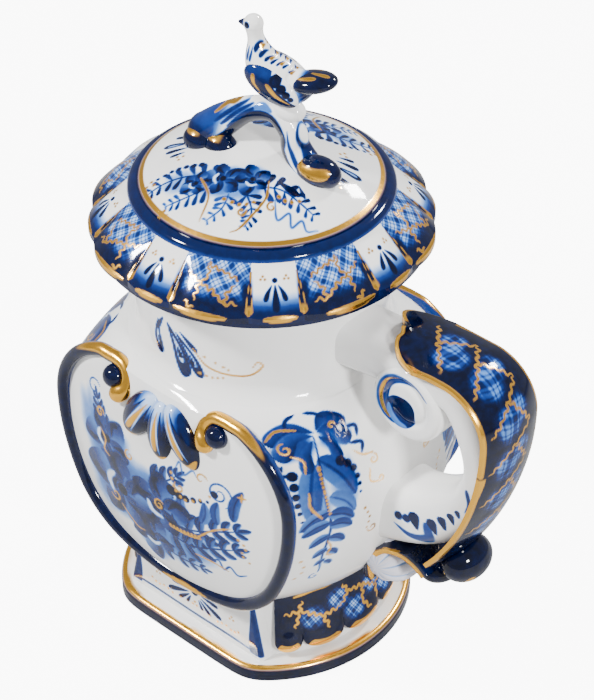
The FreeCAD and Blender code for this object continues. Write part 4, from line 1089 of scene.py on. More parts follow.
        paint.beads([(36.0, 80.0), (39.0, 77.0), (37.0, 73.0), (40.0, 70.0)], 6, 0.6, 0.5)
        paint.beads([(6.0, 97.0), (8.0, 90.0), (14.0, 87.5), (24.0, 95.0)], 9, 0.65, 0.6)
        paint.gild([(36.0, 100.5), (39.4, 100.9)], 0.8)
        paint.gild([(37.6, 98.6), (37.6, 102.4)], 0.8)

    def paint_neck(self, paint: Canvas, grid: Array) -> None:
        """Paint the flange's blue edge, and a fan of drops with a gold tendril at the front and back."""
        reach = np.hypot(grid[..., 0], grid[..., 1])
        paint.fill(ease(self.flange_radius - 5.0, self.flange_radius - 0.5, reach), 0.88)
        half_turn = math.pi * self.neck_radius
        home_s, home_t = self.sprig_at
        grow = 1 - self.sprig_scale
        for view in (paint, paint.moved(half_turn, 0.0), paint.moved(-half_turn, 0.0)):
            sprig = view.moved(home_s * grow, home_t * grow, scale=self.sprig_scale)
            for stops, width in (([(-76.0, 154.0), (-72.0, 147.0), (-68.6, 137.5)], 5.4),
                                 ([(-80.0, 153.0), (-80.5, 147.0), (-79.0, 141.0)], 3.6),
                                 ([(-72.5, 152.0), (-67.5, 146.0), (-63.5, 139.0)], 3.8)):
                sprig.stroke(stops, width * 1.2, 0.86, Brush.DROP)
                inner = np.asarray(stops) * 0.55 + np.asarray(stops[1]) * 0.45
                sprig.stroke(inner, width * 0.5, 0.06, Brush.DROP)
                sprig.drop(*inner[1], -68.0, 4.0, width * 0.34, 0.98)
            sprig.drop(-71.0, 153.0, -40.0, 8.0, 2.2, 0.8)
            sprig.drop(-77.5, 155.0, -120.0, 7.0, 2.2, 0.8)
            view.gild([(-64.6, 149.0), (-59.4, 143.4), (-51.8, 141.5), (-43.4, 142.3), (-38.9, 146.3),
                       (-40.5, 148.3), (-42.5, 145.5)], 0.8)
            view.beads([(-60.0, 147.0), (-54.0, 145.0), (-51.0, 143.5)], 4, 0.5, 0.5)
            view.beads([(-62.0, 139.0), (-57.0, 138.6), (-53.0, 139.6)], 5, 0.55, 0.5)
        outside = (reach > self.mouth_radius + 1.0).ravel()
        paint.cobalt *= outside
        paint.gold *= outside


@dataclass
class Lid:
    """The lid's skirt, bead and dome, in mm and degrees."""

    rim_z: float = 176.5
    brim_z: float = 178.9
    top_z: float = 192.0
    top_radius: float = 47.6
    valley: float = 60.8
    wide_lobe: float = 62.7
    narrow_lobe: float = 62.0
    wide_angle: float = 27.0
    turn: float = 24.5
    pairs: int = 8
    dome_radius: float = 43.8
    edge_z: float = 195.4
    dome_top: float = 208.6
    bead_height: float = 2.9
    wide_span: float = 13.0
    narrow_span: float = 8.0
    narrow_home: float = 100.0
    slope_length: float = 18.6
    under_rim: float = 60.0
    under_seat: float = 52.3
    under_top: float = 187.5
    under_tuck: float = 1.3
    gold_ring: float = 42.5
    bouquet_at: Point = (8.0, -21.0)
    bouquet_scale: float = 1.15
    sprig_radius: float = 30.0

    def petals(self, angle: Array) -> tuple[Array, Array, Array]:
        """Say where an angle falls in its petal.

        Args:
            angle: Angles in radians.

        Returns:
            The place across the petal from -1 to 1, whether it is a wide one, and the pair's number.
        """
        step = 360.0 / self.pairs
        place = np.degrees(angle) - self.turn + self.wide_angle / 2
        pair = np.floor(place / step)
        local = place - pair * step
        wide = local < self.wide_angle
        across = np.where(wide, local / self.wide_angle,
                          (local - self.wide_angle) / (step - self.wide_angle)) * 2.0 - 1.0
        return across, wide, pair

    def reach(self, angle: Array) -> Array:
        """Give the scalloped rim's radius: each petal bulges as 1 - across^2."""
        across, wide, _ = self.petals(angle)
        return self.valley + np.where(wide, self.wide_lobe - self.valley,
                                      self.narrow_lobe - self.valley) * (1 - across ** 2)

    def skirt(self, rows: int, columns: int) -> tuple[Array, Array, Array]:
        """Run from the rim's foot up its band and over the slope, puffed between petal edges."""
        angle = np.linspace(-math.pi, math.pi, columns, endpoint=False)
        rim = self.reach(angle)
        across, _, _ = self.petals(angle)
        slope = np.concatenate([np.full(5, -1.0), np.linspace(0.0, 1.0, rows - 5)])
        climb = np.clip(slope, 0.0, 1.0)[:, None]
        radius = rim + (self.top_radius - rim) * climb
        z = self.brim_z + (self.top_z - self.brim_z) * climb
        band = np.linspace(0.0, 1.0, 5)
        z[:5] = (self.rim_z + (self.brim_z - self.rim_z) * band)[:, None]
        z = np.broadcast_to(z, radius.shape).copy()
        puff = 0.9 * np.sin(np.pi * climb) * (1 - across ** 2)[None]
        z += puff
        radius = radius + puff * 0.6
        return np.stack([radius * np.cos(angle), radius * np.sin(angle), z], -1), angle, climb

    def dress(self, glaze: bpy.types.Material) -> None:
        """Build the lid's skins and paint them."""
        self.make_skirt(glaze)
        self.make_bead(glaze)
        self.make_dome(glaze)
        painted_solid("lid_collar_glaze", "lid_collar", Body.LID, glaze, 4.0,
                      lambda spots: Canvas(spots[:, 0], spots[:, 2]))

    def make_skirt(self, glaze: bpy.types.Material) -> None:
        """Build the scalloped skirt and its plain underside."""
        grid, angle, climb = self.skirt(64, 1008)
        across, wide, pair = self.petals(angle)
        swing = np.where(pair % 2 == 0, 1.0, -1.0)
        span = np.where(wide, across * self.wide_span * swing, self.narrow_home + across * self.narrow_span)
        fall = (grid[..., 2] - self.brim_z) * (climb <= 0.0)
        paint = Canvas(np.broadcast_to(span, grid.shape[:2]),
                       climb * self.slope_length + np.minimum(fall, 0.0))
        self.paint_skirt(paint)
        under = np.array([[self.under_rim, self.rim_z], [self.under_seat, self.rim_z],
                          [self.dome_radius - self.under_tuck, self.under_top]])
        below, _ = turned(under, 180)
        make_piece("lid_skirt_glaze", Body.LID,
                   [Sheet(grid, True, (0.0, 0.0, 170.0), paint=paint),
                    Sheet(below, True, (0.0, 0.0, 200.0))],
                   glaze, ["lid_skirt"])

    def make_bead(self, glaze: bpy.types.Material) -> None:
        """Build the bead as a quarter of an ellipse turned about the axis."""
        ring = np.linspace(0.0, math.pi / 2, 14)
        bead = np.stack([self.dome_radius + (self.top_radius - self.dome_radius) * np.cos(ring),
                         self.top_z + self.bead_height * np.sin(ring)], 1)
        grid, angle = turned(bead, 480)
        paint = Canvas(np.broadcast_to(angle * self.dome_radius, grid.shape[:2]), grid[..., 2])
        paint.fill(np.ones(paint.s.size), 0.84 - 0.2 * ease(self.top_z + 1.6, self.top_z + 0.4, paint.t))
        make_piece("lid_bead_glaze", Body.LID, [Sheet(grid, True, (0.0, 0.0, 180.0), paint=paint)], glaze,
                   ["lid_bead"])

    def make_dome(self, glaze: bpy.types.Material) -> None:
        """Build the dome as an upright edge and a cap of one ball."""
        edge = line((self.dome_radius, self.top_z), (self.dome_radius, self.edge_z), 6)
        sag = self.dome_top - self.edge_z
        curve = (self.dome_radius ** 2 + sag ** 2) / (2 * sag)
        run = np.linspace(self.dome_radius, 0.0, 112)
        cap = np.stack([run, self.dome_top - curve + np.sqrt(curve ** 2 - run ** 2)], 1)
        grid, _ = turned(np.vstack([edge, cap[1:]]), 640)
        paint = Canvas(grid[..., 0], grid[..., 1])
        self.paint_dome(paint)
        make_piece("lid_dome_glaze", Body.LID, [Sheet(grid, True, (0.0, 0.0, 180.0), paint=paint)], glaze,
                   ["lid_dome"])

    def paint_skirt(self, paint: Canvas) -> None:
        """Paint navy plaid petals and white ones that darken to the rim, with gilt ribs and a gilt rim.

        A wide petal lies about s = 0 and a narrow one about its home, so each stroke lands on all of them.
        """
        home, wide = self.narrow_home, paint.s < self.narrow_home / 2
        low = np.maximum(ease(9.5, 3.5, paint.t),
                         ease(9.0, 11.5, np.abs(paint.s)) * ease(17.0, 8.0, paint.t))
        plaid = paint.plaid(38.0, 5.0, 0.1, 0.86)
        paint.cobalt = np.where(wide, plaid + (0.93 - plaid) * low, 0.86 * ease(9.0, 1.0, paint.t))
        off = np.abs(paint.s - home)
        paint.fill(np.where(wide, 0.0, ease(6.6, 7.9, off) * ease(15.0, 7.0, paint.t)), 0.8)
        for stops in ([(-3.0, 17.5), (-2.0, 12.5), (-4.5, 9.5), (-5.0, 4.0)],
                      [(-3.5, 16.5), (3.0, 15.0), (9.0, 12.5)],
                      [(-10.0, 12.5), (-4.5, 10.0), (1.0, 8.0), (5.0, 4.5), (9.0, 4.8)],
                      [(5.0, 4.5), (5.5, 8.0), (8.0, 11.0)],
                      [(-8.0, 3.0), (-4.5, 1.4)]):
            paint.zigzag(stops, 0.62, 0.5, 2.7)
        paint.dots([(home, 12.6)], 0.85, 0.98)
        paint.stroke([(home, 11.2), (home, 7.5), (home, 2.2)], 2.7, 0.97, Brush.DROP)
        for hand in (-1, 1):
            paint.stroke([(home + hand * 1.0, 11.0), (home + hand * 2.3, 8.5), (home + hand * 3.2, 5.6)],
                         1.9, 0.95, Brush.DROP)
            paint.trio(home + hand * 3.9, 13.0, 0.7, 0.42)
        gap = np.where(wide, self.wide_span - np.abs(paint.s), self.narrow_span - off)
        swell = 0.25 + 0.85 * ease(15.0, 3.0, paint.t) * ease(0.6, 1.8, paint.t)
        rib = ease(0.12, -0.12, gap - swell) * (paint.t > 0.5) * (paint.t < 15.5)
        paint.fill(rib, 0.95)
        paint.gilt(ease(0.16, 0.0, np.abs(gap - swell * 0.8)) * rib)
        paint.gilt(ease(4.5, 2.0, paint.t) * rib)
        bow = np.where(wide, (paint.s + 2.5) / 9.0, (paint.s - home - 1.0) / 5.0)
        thick = 1.25 * np.sqrt(np.clip(1.0 - bow ** 2, 0.0, 1.0))
        paint.gilt(ease(0.12, -0.12, np.abs(paint.t + 0.2) - thick) * (thick > 0.02))

    def paint_dome(self, paint: Canvas) -> None:
        """Paint a bouquet on the front and back of the dome, sprigs between them, and a gold ring."""
        apart = np.hypot(paint.s, paint.t)
        paint.fill(ease(43.2, 43.5, apart), 0.9)
        paint.gilt(ease(0.95, 0.75, np.abs(apart - self.gold_ring)))
        across, up = self.bouquet_at
        for turn in (0.0, 180.0):
            way = math.radians(turn)
            cosine, sine = math.cos(way), math.sin(way)
            spot = across * cosine - up * sine, across * sine + up * cosine
            self.paint_bouquet(paint.moved(*spot, turn + 30.0, scale=self.bouquet_scale))
            out = self.sprig_radius * math.cos(way + 0.42), self.sprig_radius * math.sin(way + 0.42)
            sprig = paint.moved(*out, turn + 24.0)
            for start, angle, length, width in ((1.0, 0.0, 10.0, 3.4), (4.0, 10.0, 8.0, 2.4),
                                                (-3.0, -12.0, 7.5, 2.4), (6.5, 20.0, 5.5, 1.8)):
                sprig.drop(-4.0, start, angle, length, width, 0.92)
            sprig.drop(-1.0, 1.2, 0.0, 5.5, 1.3, 0.2)
            sprig.trio(0.0, -8.0)
            sprig.trio(-3.0, 9.0)

    def paint_bouquet(self, paint: Canvas) -> None:
        """Paint two blooms with drop ferns to either side, hanging ladders of strokes and gold stems."""
        paint.wash(-2.0, 0.0, 14.0, 7.0, 0.3)
        paint.wash(-17.0, 2.0, 9.0, 5.0, 0.24, -10.0)
        paint.fern([(-5.0, 1.0), (-14.0, 4.0), (-23.0, 3.0), (-30.0, -1.0)], 8, 6.4)
        paint.fern([(-8.0, -1.0), (-15.0, -4.0), (-21.0, -6.0)], 6, 5.0, 0.75)
        paint.fern([(6.0, 0.5), (13.0, 1.0), (19.0, -1.5), (24.0, -4.0)], 7, 6.0)
        paint.fern([(3.0, -2.0), (6.0, -8.0), (5.0, -13.0)], 6, 4.6)
        paint.fern([(-2.0, -3.0), (-3.0, -8.0), (-7.0, -12.0)], 5, 4.2, 0.7)
        paint.bloom(-5.0, 2.5, 6.4, 20.0, 0.92)
        paint.bloom(4.0, 3.0, 5.6, 100.0, 0.9)
        paint.bloom(-13.0, 1.0, 4.6, 60.0, 0.85)
        paint.drop(11.0, 4.0, -25.0, 8.0, 3.2, 0.95)
        paint.drop(17.5, 4.5, -55.0, 5.0, 1.4, 0.8)
        paint.stroke([(12.0, -3.0), (14.0, -9.0), (17.0, -6.0), (18.5, -10.0), (21.0, -7.0), (23.0, -9.5),
                      (26.0, -8.0)], 0.6, 0.6)
        paint.trail([(-26.0, 5.5), (-20.0, 8.0), (-13.0, 8.5)], 7, 0.5, 0.95, 0.9)
        paint.gild([(9.0, 3.0), (9.0, -4.0), (4.0, -13.0), (1.0, -15.0)], 0.7)
        paint.gild([(-12.0, 3.0), (-8.0, -4.0), (-9.0, -12.0)], 0.6)
        paint.beads([(-3.0, -5.0), (2.0, -6.5), (6.0, -5.0)], 5, 0.6, 0.5)
        paint.curl(11.5, -5.5, 1.6, 90.0, 1.1, 0.6)
        paint.curl(3.0, -8.5, 1.5, 30.0, -1.1, 0.6)
        paint.beads([(13.0, -1.5), (16.0, -2.5), (19.0, -1.0)], 4, 0.6, 0.5)
        paint.trio(-21.0, -9.0)
        paint.trio(-28.0, 3.5)


@dataclass
class Base:
    """The foot plate, the pedestal with its two slabs, and the two swagged aprons, in mm and degrees."""

    foot_radius: float = 57.8
    foot_flat: float = 48.2
    foot_top: float = 6.8
    foot_round: float = 2.2
    drum_radius: float = 49.4
    drum_flat: float = 40.0
    drum_top: float = 37.0
    drum_slope: float = 0.123
    slab_low: float = 35.2
    slab_high: float = 28.6
    slab_top: float = 38.2
    slab_front: float = 41.0
    slab_back: float = 33.2
    slab_round: float = 1.6
    apron_low: float = 11.8
    apron_high: float = 36.8
    apron_radius: float = 51.0
    apron_top_radius: float = 46.0
    apron_wrap: float = 44.0
    apron_scale: float = 48.0
    lobe_drop: float = 5.6
    lobe_swell: float = 1.8
    apron_lip: float = 1.6
    apron_tuck: float = 7.0
    apron_end: float = 0.84
    foot_chamfer: float = 0.8
    lobes: tuple = ((0.0, 23.0), (21.5, 20.0), (-21.5, 20.0), (37.75, 12.5), (-37.75, 12.5))

    def flatted(self, radius: float, flat: float, angle: Array) -> Array:
        """Give a disc's reach with its front and back cut flat: a high-power mean that eases the corners."""
        power = 30.0
        cut = flat / np.maximum(np.abs(np.sin(angle)), 1e-6)
        return (radius ** -power + cut ** -power) ** (-1.0 / power)

    def dress(self, glaze: bpy.types.Material) -> None:
        """Build the foot, the pedestal and the aprons."""
        angle = np.linspace(-math.pi, math.pi, 720, endpoint=False)
        self.make_foot(angle, glaze)
        self.make_pedestal(angle, glaze)
        for hand, side in ((1, "handle"), (-1, "spout")):
            make_piece("apron_%s_glaze" % side, Body.POT, [self.apron(hand)], glaze,
                       ["apron_%s_side" % side])

    def make_foot(self, angle: Array, glaze: bpy.types.Material) -> None:
        """Build the foot plate with its rounded upper edge, navy at the side and gilt on the round."""
        turn = np.linspace(0.0, math.pi / 2, 9)
        low = [(self.foot_radius, 0.0), (20.0, 0.0), (self.foot_chamfer, 0.0)]
        wall = line((0.0, self.foot_chamfer), (0.0, self.foot_top - self.foot_round), 10)
        over = np.stack([self.foot_round * (1 - np.cos(turn)),
                         self.foot_top - self.foot_round * (1 - np.sin(turn))], 1)
        profile = np.vstack([low, wall, over[1:],
                             line((self.foot_round + 0.5, self.foot_top), (24.0, self.foot_top), 16)])
        edge = self.flatted(self.foot_radius, self.foot_flat, angle)[None]
        reach = np.maximum(edge - profile[:, :1], 0.0)
        height = np.broadcast_to(profile[:, 1:], reach.shape)
        climb = np.broadcast_to(profile[:, 1:] + profile[:, :1] * (profile[:, 1:] > 1.0), reach.shape)
        paint = Canvas(np.broadcast_to(angle * self.foot_radius, reach.shape), climb)
        paint.fill(ease(6.6, 5.9, paint.t), 0.97)
        wander = 0.25 * np.sin(paint.s * 0.11) + 0.15 * np.sin(paint.s * 0.31)
        paint.gilt(ease(6.1, 6.4, paint.t) * ease(9.6, 9.2, paint.t + wander))
        grid = np.stack([reach * np.cos(angle), reach * np.sin(angle), height], -1)
        make_piece("foot_plate_glaze", Body.POT, [Sheet(grid, True, (0.0, 0.0, 3.0), paint=paint)], glaze,
                   ["foot_plate"])

    def make_pedestal(self, angle: Array, glaze: bpy.types.Material) -> None:
        """Build the tapered drum with a slab at the front and at the back."""
        rise = np.linspace(self.foot_top - 0.2, self.drum_top, 12)[:, None]
        edge = self.flatted(self.drum_radius, self.drum_flat, angle)[None]
        reach = edge - (rise - self.foot_top) * self.drum_slope
        height = np.broadcast_to(rise, reach.shape)
        drum = np.stack([reach * np.cos(angle), reach * np.sin(angle), height], -1)
        sheets = [Sheet(drum, True, (0.0, 0.0, 20.0))] + [self.slab(hand) for hand in (-1, 1)]
        make_piece("pedestal_glaze", Body.POT, sheets, glaze, ["pedestal"])

    def slab(self, hand: int) -> Sheet:
        """Build one flared slab with rounded upright edges, and paint its face."""
        turn = np.linspace(0.0, math.pi / 2, 7)
        corner = np.stack([self.slab_round * (1 - np.sin(turn)),
                           self.slab_front - self.slab_round * (1 - np.cos(turn))], 1)
        side = line((0.0, self.slab_back), (0.0, self.slab_front - self.slab_round), 12)
        edge = np.vstack([side, corner[::-1][1:]])
        z = np.linspace(self.foot_top - 0.2, self.slab_top, 80)[:, None]
        share = (z - self.foot_top) / (self.slab_top - self.foot_top)
        half = self.slab_low + (self.slab_high - self.slab_low) * share
        face = np.linspace(-1.0, 1.0, 190)[None, 1:-1] * (half - self.slab_round)
        left, right = -(half - edge[None, :, 0]), half - edge[None, ::-1, 0]
        x = np.hstack([left, face, right])
        depth = np.concatenate([edge[:, 1], np.full(face.shape[1], self.slab_front), edge[::-1, 1]])
        y = np.broadcast_to(depth * hand, x.shape)
        beyond = np.sign(x) * np.maximum(self.slab_front - self.slab_round - depth, 0.0)
        paint = Canvas(-hand * (x + beyond), np.broadcast_to(z, x.shape))
        self.paint_slab(paint, np.broadcast_to(half, x.shape).ravel())
        return Sheet(np.stack([x, y, np.broadcast_to(z, x.shape)], -1), False, (0.0, 20.0 * hand, 20.0),
                     paint=paint)

    def paint_slab(self, paint: Canvas, half: Array) -> None:
        """Paint a fine blue frame, a blade up each edge, a sprig of drops and gold dots."""
        paint.stroke([(-31.0, 33.0), (-32.4, 22.0), (-33.0, 11.4), (-20.0, 10.3), (0.0, 10.0), (20.0, 10.2),
                      (33.4, 9.6)], 0.95, 0.85)
        paint.stroke([(-31.5, 27.0), (-30.6, 31.0), (-27.5, 34.5)], 3.4, 0.98, Brush.DROP)
        inner = half - 0.7 - 5.0 * ease(34.0, 9.0, paint.t)
        blade = ease(-0.25, 0.25, np.abs(paint.s) - inner) * ease(0.3, -0.3, np.abs(paint.s) - half - 0.2)
        paint.fill(blade * ease(8.2, 8.8, paint.t), 0.74)
        for view in (paint, paint.moved(0.0, 0.0, flip=True)):
            for start, angle, length, width in (((3.0, 20.0), -22.0, 12.0, 2.8),
                                                ((2.6, 19.0), -42.0, 8.0, 2.2),
                                                ((3.4, 21.4), -4.0, 9.0, 2.2),
                                                ((2.0, 18.4), -64.0, 5.0, 1.7),
                                                ((3.0, 22.6), 12.0, 6.0, 1.7)):
                view.drop(*start, angle, length, width, 0.86)
            view.trio(9.5, 25.0, 0.9, 0.5)
            view.beads([(12.0, 13.5), (16.0, 14.5), (20.0, 13.5), (23.0, 15.0)], 6, 0.5, 0.5)
            view.trio(19.5, 19.5, 0.9, 0.5)
        paint.dots([(0.0, 21.5)], 1.7, 0.98)
        paint.trio(0.0, 14.8, 1.0, 0.55)

    def apron(self, hand: int) -> Sheet:
        """Build one apron: an arc that draws in upwards, with five puffed lobes along its lower edge."""
        wrap = np.linspace(-self.apron_wrap, self.apron_wrap, 420)
        puff = np.zeros_like(wrap)
        for centre, wide in self.lobes:
            puff = np.maximum(puff, np.sqrt(np.clip(1.0 - ((wrap - centre) / (wide / 2)) ** 2, 0.0, 1.0)))
        low = self.apron_low + self.lobe_swell - self.lobe_drop * puff
        share = np.concatenate([[0.0, 0.0], np.linspace(0.0, 1.0, 90)])[:, None]
        z = low + (self.apron_high - low) * share
        climb = np.clip((z - self.apron_low) / (self.apron_high - self.apron_low), 0.0, 1.0)
        reach = self.apron_radius - (self.apron_radius - self.apron_top_radius) * climb ** 1.4
        reach = reach + self.lobe_swell * puff * np.exp(-((z - self.apron_low - self.lobe_swell) / 5.5) ** 2)
        reach -= self.apron_lip * ease(self.apron_lip, 0.0, z - low)
        reach[0] -= self.apron_tuck
        reach[1] -= 1.2
        z[0] += 2.0
        angle = np.radians(wrap)
        lip = (z - low).ravel()
        paint = Canvas(np.broadcast_to(angle * self.apron_scale, z.shape), z)
        self.paint_apron(paint, lip, np.broadcast_to(puff, z.shape).ravel())
        grid = np.stack([hand * reach * np.cos(angle), hand * reach * np.sin(angle), z], -1)
        grid[:, (0, -1), :2] *= self.apron_end
        return Sheet(grid, False, (0.0, 0.0, 22.0), paint=paint)

    def paint_apron(self, paint: Canvas, lip: Array, puff: Array) -> None:
        """Paint it navy with plaid windows, gold crackle, and gold crescents along the lobes."""
        paint.cobalt[:] = 0.96
        plaid = paint.plaid(30.0, 4.6, 0.14, 0.92)
        for s, t in ((-22.0, 23.0), (-11.0, 27.0), (-4.0, 20.0), (6.0, 25.0), (14.0, 20.0), (22.0, 26.0),
                     (31.0, 21.0)):
            near = np.hypot(paint.s - s, (paint.t - t) * 1.1)
            paint.fill(ease(6.6, 2.5, near), plaid)
        for stops in ([(-33.0, 26.0), (-27.0, 27.0), (-18.0, 22.5), (-10.0, 23.5)],
                      [(-26.0, 31.0), (-27.0, 27.0), (-29.0, 20.0)],
                      [(-18.0, 22.5), (-16.0, 17.0)],
                      [(-10.0, 23.5), (-6.0, 28.0), (2.0, 26.5), (9.0, 21.5)],
                      [(-6.0, 28.0), (-8.0, 32.0)], [(2.0, 26.5), (0.0, 20.0), (3.0, 15.5)],
                      [(9.0, 21.5), (15.0, 27.0), (22.0, 22.5), (32.0, 24.5)], [(15.0, 27.0), (14.0, 31.5)],
                      [(22.0, 22.5), (20.0, 16.5)], [(9.0, 21.5), (8.0, 16.0)]):
            paint.zigzag(stops, 0.9, 0.55, 2.8)
        crescent = 5.2 * ease(0.45, 0.9, puff)
        paint.gilt(ease(0.2, -0.2, lip - crescent) * ease(0.4, 0.7, lip))
        for stops in ([(-29.0, 33.2), (-21.0, 34.6), (-13.0, 34.4)], [(-5.0, 34.6), (6.0, 34.8)],
                      [(13.0, 34.4), (25.0, 33.6)]):
            paint.gild(stops, 1.2)


@dataclass
class Cartouche:
    """The rib round each panel with its two curls, and the shell between them, in mm and degrees."""

    rib: float = 2.7
    run_in: float = 8.5
    hook: float = 6.5
    sweep: float = 145.0
    lean: float = 24.0
    eye: float = 4.6
    lobe: tuple[float, float, float] = (7.0, 5.5, 13.5)
    fan: float = 31.0
    hub_z: float = 131.55
    shell_depth: float = 53.5
    bulb: float = 0.9
    sunk: float = 0.1

    def dress(self, vessel: Vessel, glaze: bpy.types.Material) -> None:
        """Build both ribs and both shells."""
        for hand, side in ((-1, "front"), (1, "back")):
            make_piece(side + "_frame_glaze", Body.POT, self.frame(vessel, hand), glaze, [side + "_frame"])
            make_piece(side + "_shell_glaze", Body.POT,
                       [self.lobe_sheet(hand, step) for step in (-1, 0, 1)],
                       glaze, [side + "_shell"])

    def frame(self, vessel: Vessel, hand: int) -> list[Sheet]:
        """Carry the rib round the outline and over into a curl at each end, with a ball in each curl."""
        half = vessel.outline(0.0, (40, 60, 50, 60))
        rim = np.vstack([(half * (-1.0, 1.0))[::-1], half[1:]])
        rim = np.stack([rim[:, 0], np.full(len(rim), hand * vessel.flat_depth), rim[:, 1]], 1)
        top_x, top_z = vessel.frame_top
        turn = np.radians(np.linspace(0.0, self.sweep, 40))
        hub_x = top_x - self.run_in
        hook = np.vstack([line((top_x - 1.0, 0.0), (hub_x + 0.5, 0.0), 12),
                          np.stack([hub_x - self.hook * np.sin(turn), self.hook * (1 - np.cos(turn))], 1)])
        tip, tilt = math.sin(math.radians(self.lean)), math.cos(math.radians(self.lean))
        curl = np.stack([hook[:, 0], hand * (vessel.flat_depth + hook[:, 1] * tip),
                         top_z - hook[:, 1] * tilt], 1)
        path = even(np.vstack([(curl * (-1.0, 1.0, 1.0))[::-1], rim, curl]), 0.7)
        path = smooth_curve(path[::6], 6)
        count = np.arange(len(path))
        bulb = self.bulb * ease(9.0, 2.0, np.minimum(count, count[::-1]))
        long, girth = capped(path, self.rib + bulb)
        grid = tube(long, girth, 40)
        away = (grid - long[:, None]) / self.rib
        run = lengths(long)
        along = np.broadcast_to(np.minimum(run, run[-1] - run)[:, None], grid.shape[:2])
        paint = Canvas(grid[..., 0] * -hand, grid[..., 2])
        self.paint_rib(paint, along.ravel(), away.reshape(-1, 3), hand)
        sheets = [Sheet(grid, True, tuple(path[len(path) // 2]), paint=paint)]
        for flank in (-1, 1):
            spot = (hub_x * flank, hand * (vessel.flat_depth + self.hook * tip), top_z - self.hook * tilt)
            eye = ball(spot, (self.eye,) * 3)
            coat = Canvas(eye[..., 0] * flank, eye[..., 2])
            coat.cobalt[:] = 0.95
            sheets.append(Sheet(eye, True, spot, paint=coat))
        return sheets

    def paint_rib(self, paint: Canvas, along: Array, away: Array, hand: int) -> None:
        """Paint the rib navy along its crest and paler beside it, with gold on the curls and below.

        Args:
            paint: The rib's canvas, across and up.
            along: Each point's distance from the nearer end.
            away: Each point's direction from the rib's middle.
            hand: Which panel it is, -1 for the front.
        """
        paint.fill(np.ones(paint.s.size), 0.6 + 0.36 * ease(-0.3, 0.5, away[:, 1] * hand))
        outward = away[:, 0] * np.sign(paint.s) * -hand
        crest = away[:, 2] * 0.8 + away[:, 1] * hand * 0.55
        width = 0.35 + 0.75 * ease(4.0, 62.0, along)
        paint.gilt(ease(-0.1, 0.1, crest - width) * ease(66.0, 60.0, along))
        paint.gilt(ease(13.0, 9.0, along) * ease(-0.35, -0.15, away[:, 1] * hand + 0.2 * outward))
        taper = np.clip(1.0 - ((paint.s - 6.0) / 12.0) ** 2, 0.0, 1.0) * (paint.t < 60.0)
        middle = away[:, 2] + 0.1
        stroke = ease(0.06, -0.06, np.abs(middle) - 0.55 * taper) * (away[:, 1] * hand > 0.0)
        paint.gilt(stroke * (taper > 0.02))

    def lobe_sheet(self, hand: int, step: int) -> Sheet:
        """Build one lobe of the shell, fanned about the hub, and paint it."""
        tilt = self.fan * step
        reach = self.lobe[2] * 1.5
        turn = math.radians(tilt)
        centre = np.array([-reach * math.sin(turn), hand * self.shell_depth,
                           self.hub_z - reach * math.cos(turn)])
        grid = ball(centre, self.lobe, tilt, 96, 104)
        deep = (grid[..., 1] - centre[1]) * hand
        grid[..., 1] = centre[1] + hand * np.where(deep < 0.0, deep * self.sunk, deep)
        away = grid - centre
        down = -(away[..., 0] * math.sin(turn) + away[..., 2] * math.cos(turn))
        across = away[..., 0] * math.cos(turn) - away[..., 2] * math.sin(turn)
        paint = Canvas(across, down)
        wide = self.lobe[0] * np.sqrt(np.clip(1.0 - (paint.t / self.lobe[2]) ** 2, 0.02, 1.0))
        flank = np.abs(paint.s) / wide
        paint.fill(np.ones(paint.s.size), 0.1 + 0.86 * ease(-11.0, 2.0, paint.t + 5.0 * flank))
        paint.fill(ease(0.5, 0.8, flank) * ease(-12.0, -4.0, paint.t), 0.95)
        for side in (-1, 1):
            paint.stroke([(1.6 * side, -11.5), (2.8 * side, -3.0), (3.2 * side, 6.0)], 2.0, 0.92,
                         Brush.DROP)
            paint.stroke([(0.9 * side, -8.0), (1.5 * side, 1.0), (1.7 * side, 8.0)], 0.9, 0.06, Brush.LEAF)
            paint.stroke([(4.6 * side, -10.0), (5.4 * side, -4.0), (5.4 * side, 2.0)], 1.6, 0.85,
                         Brush.LEAF)
        paint.gild([(0.4, -11.0), (0.0, -2.0), (-0.4, 7.0)], 3.0, Brush.DROP)
        paint.gild([(-4.2, 8.6), (0.0, 10.8), (4.2, 8.6)], 2.6, Brush.LEAF)
        return Sheet(grid, True, tuple(centre), paint=paint)


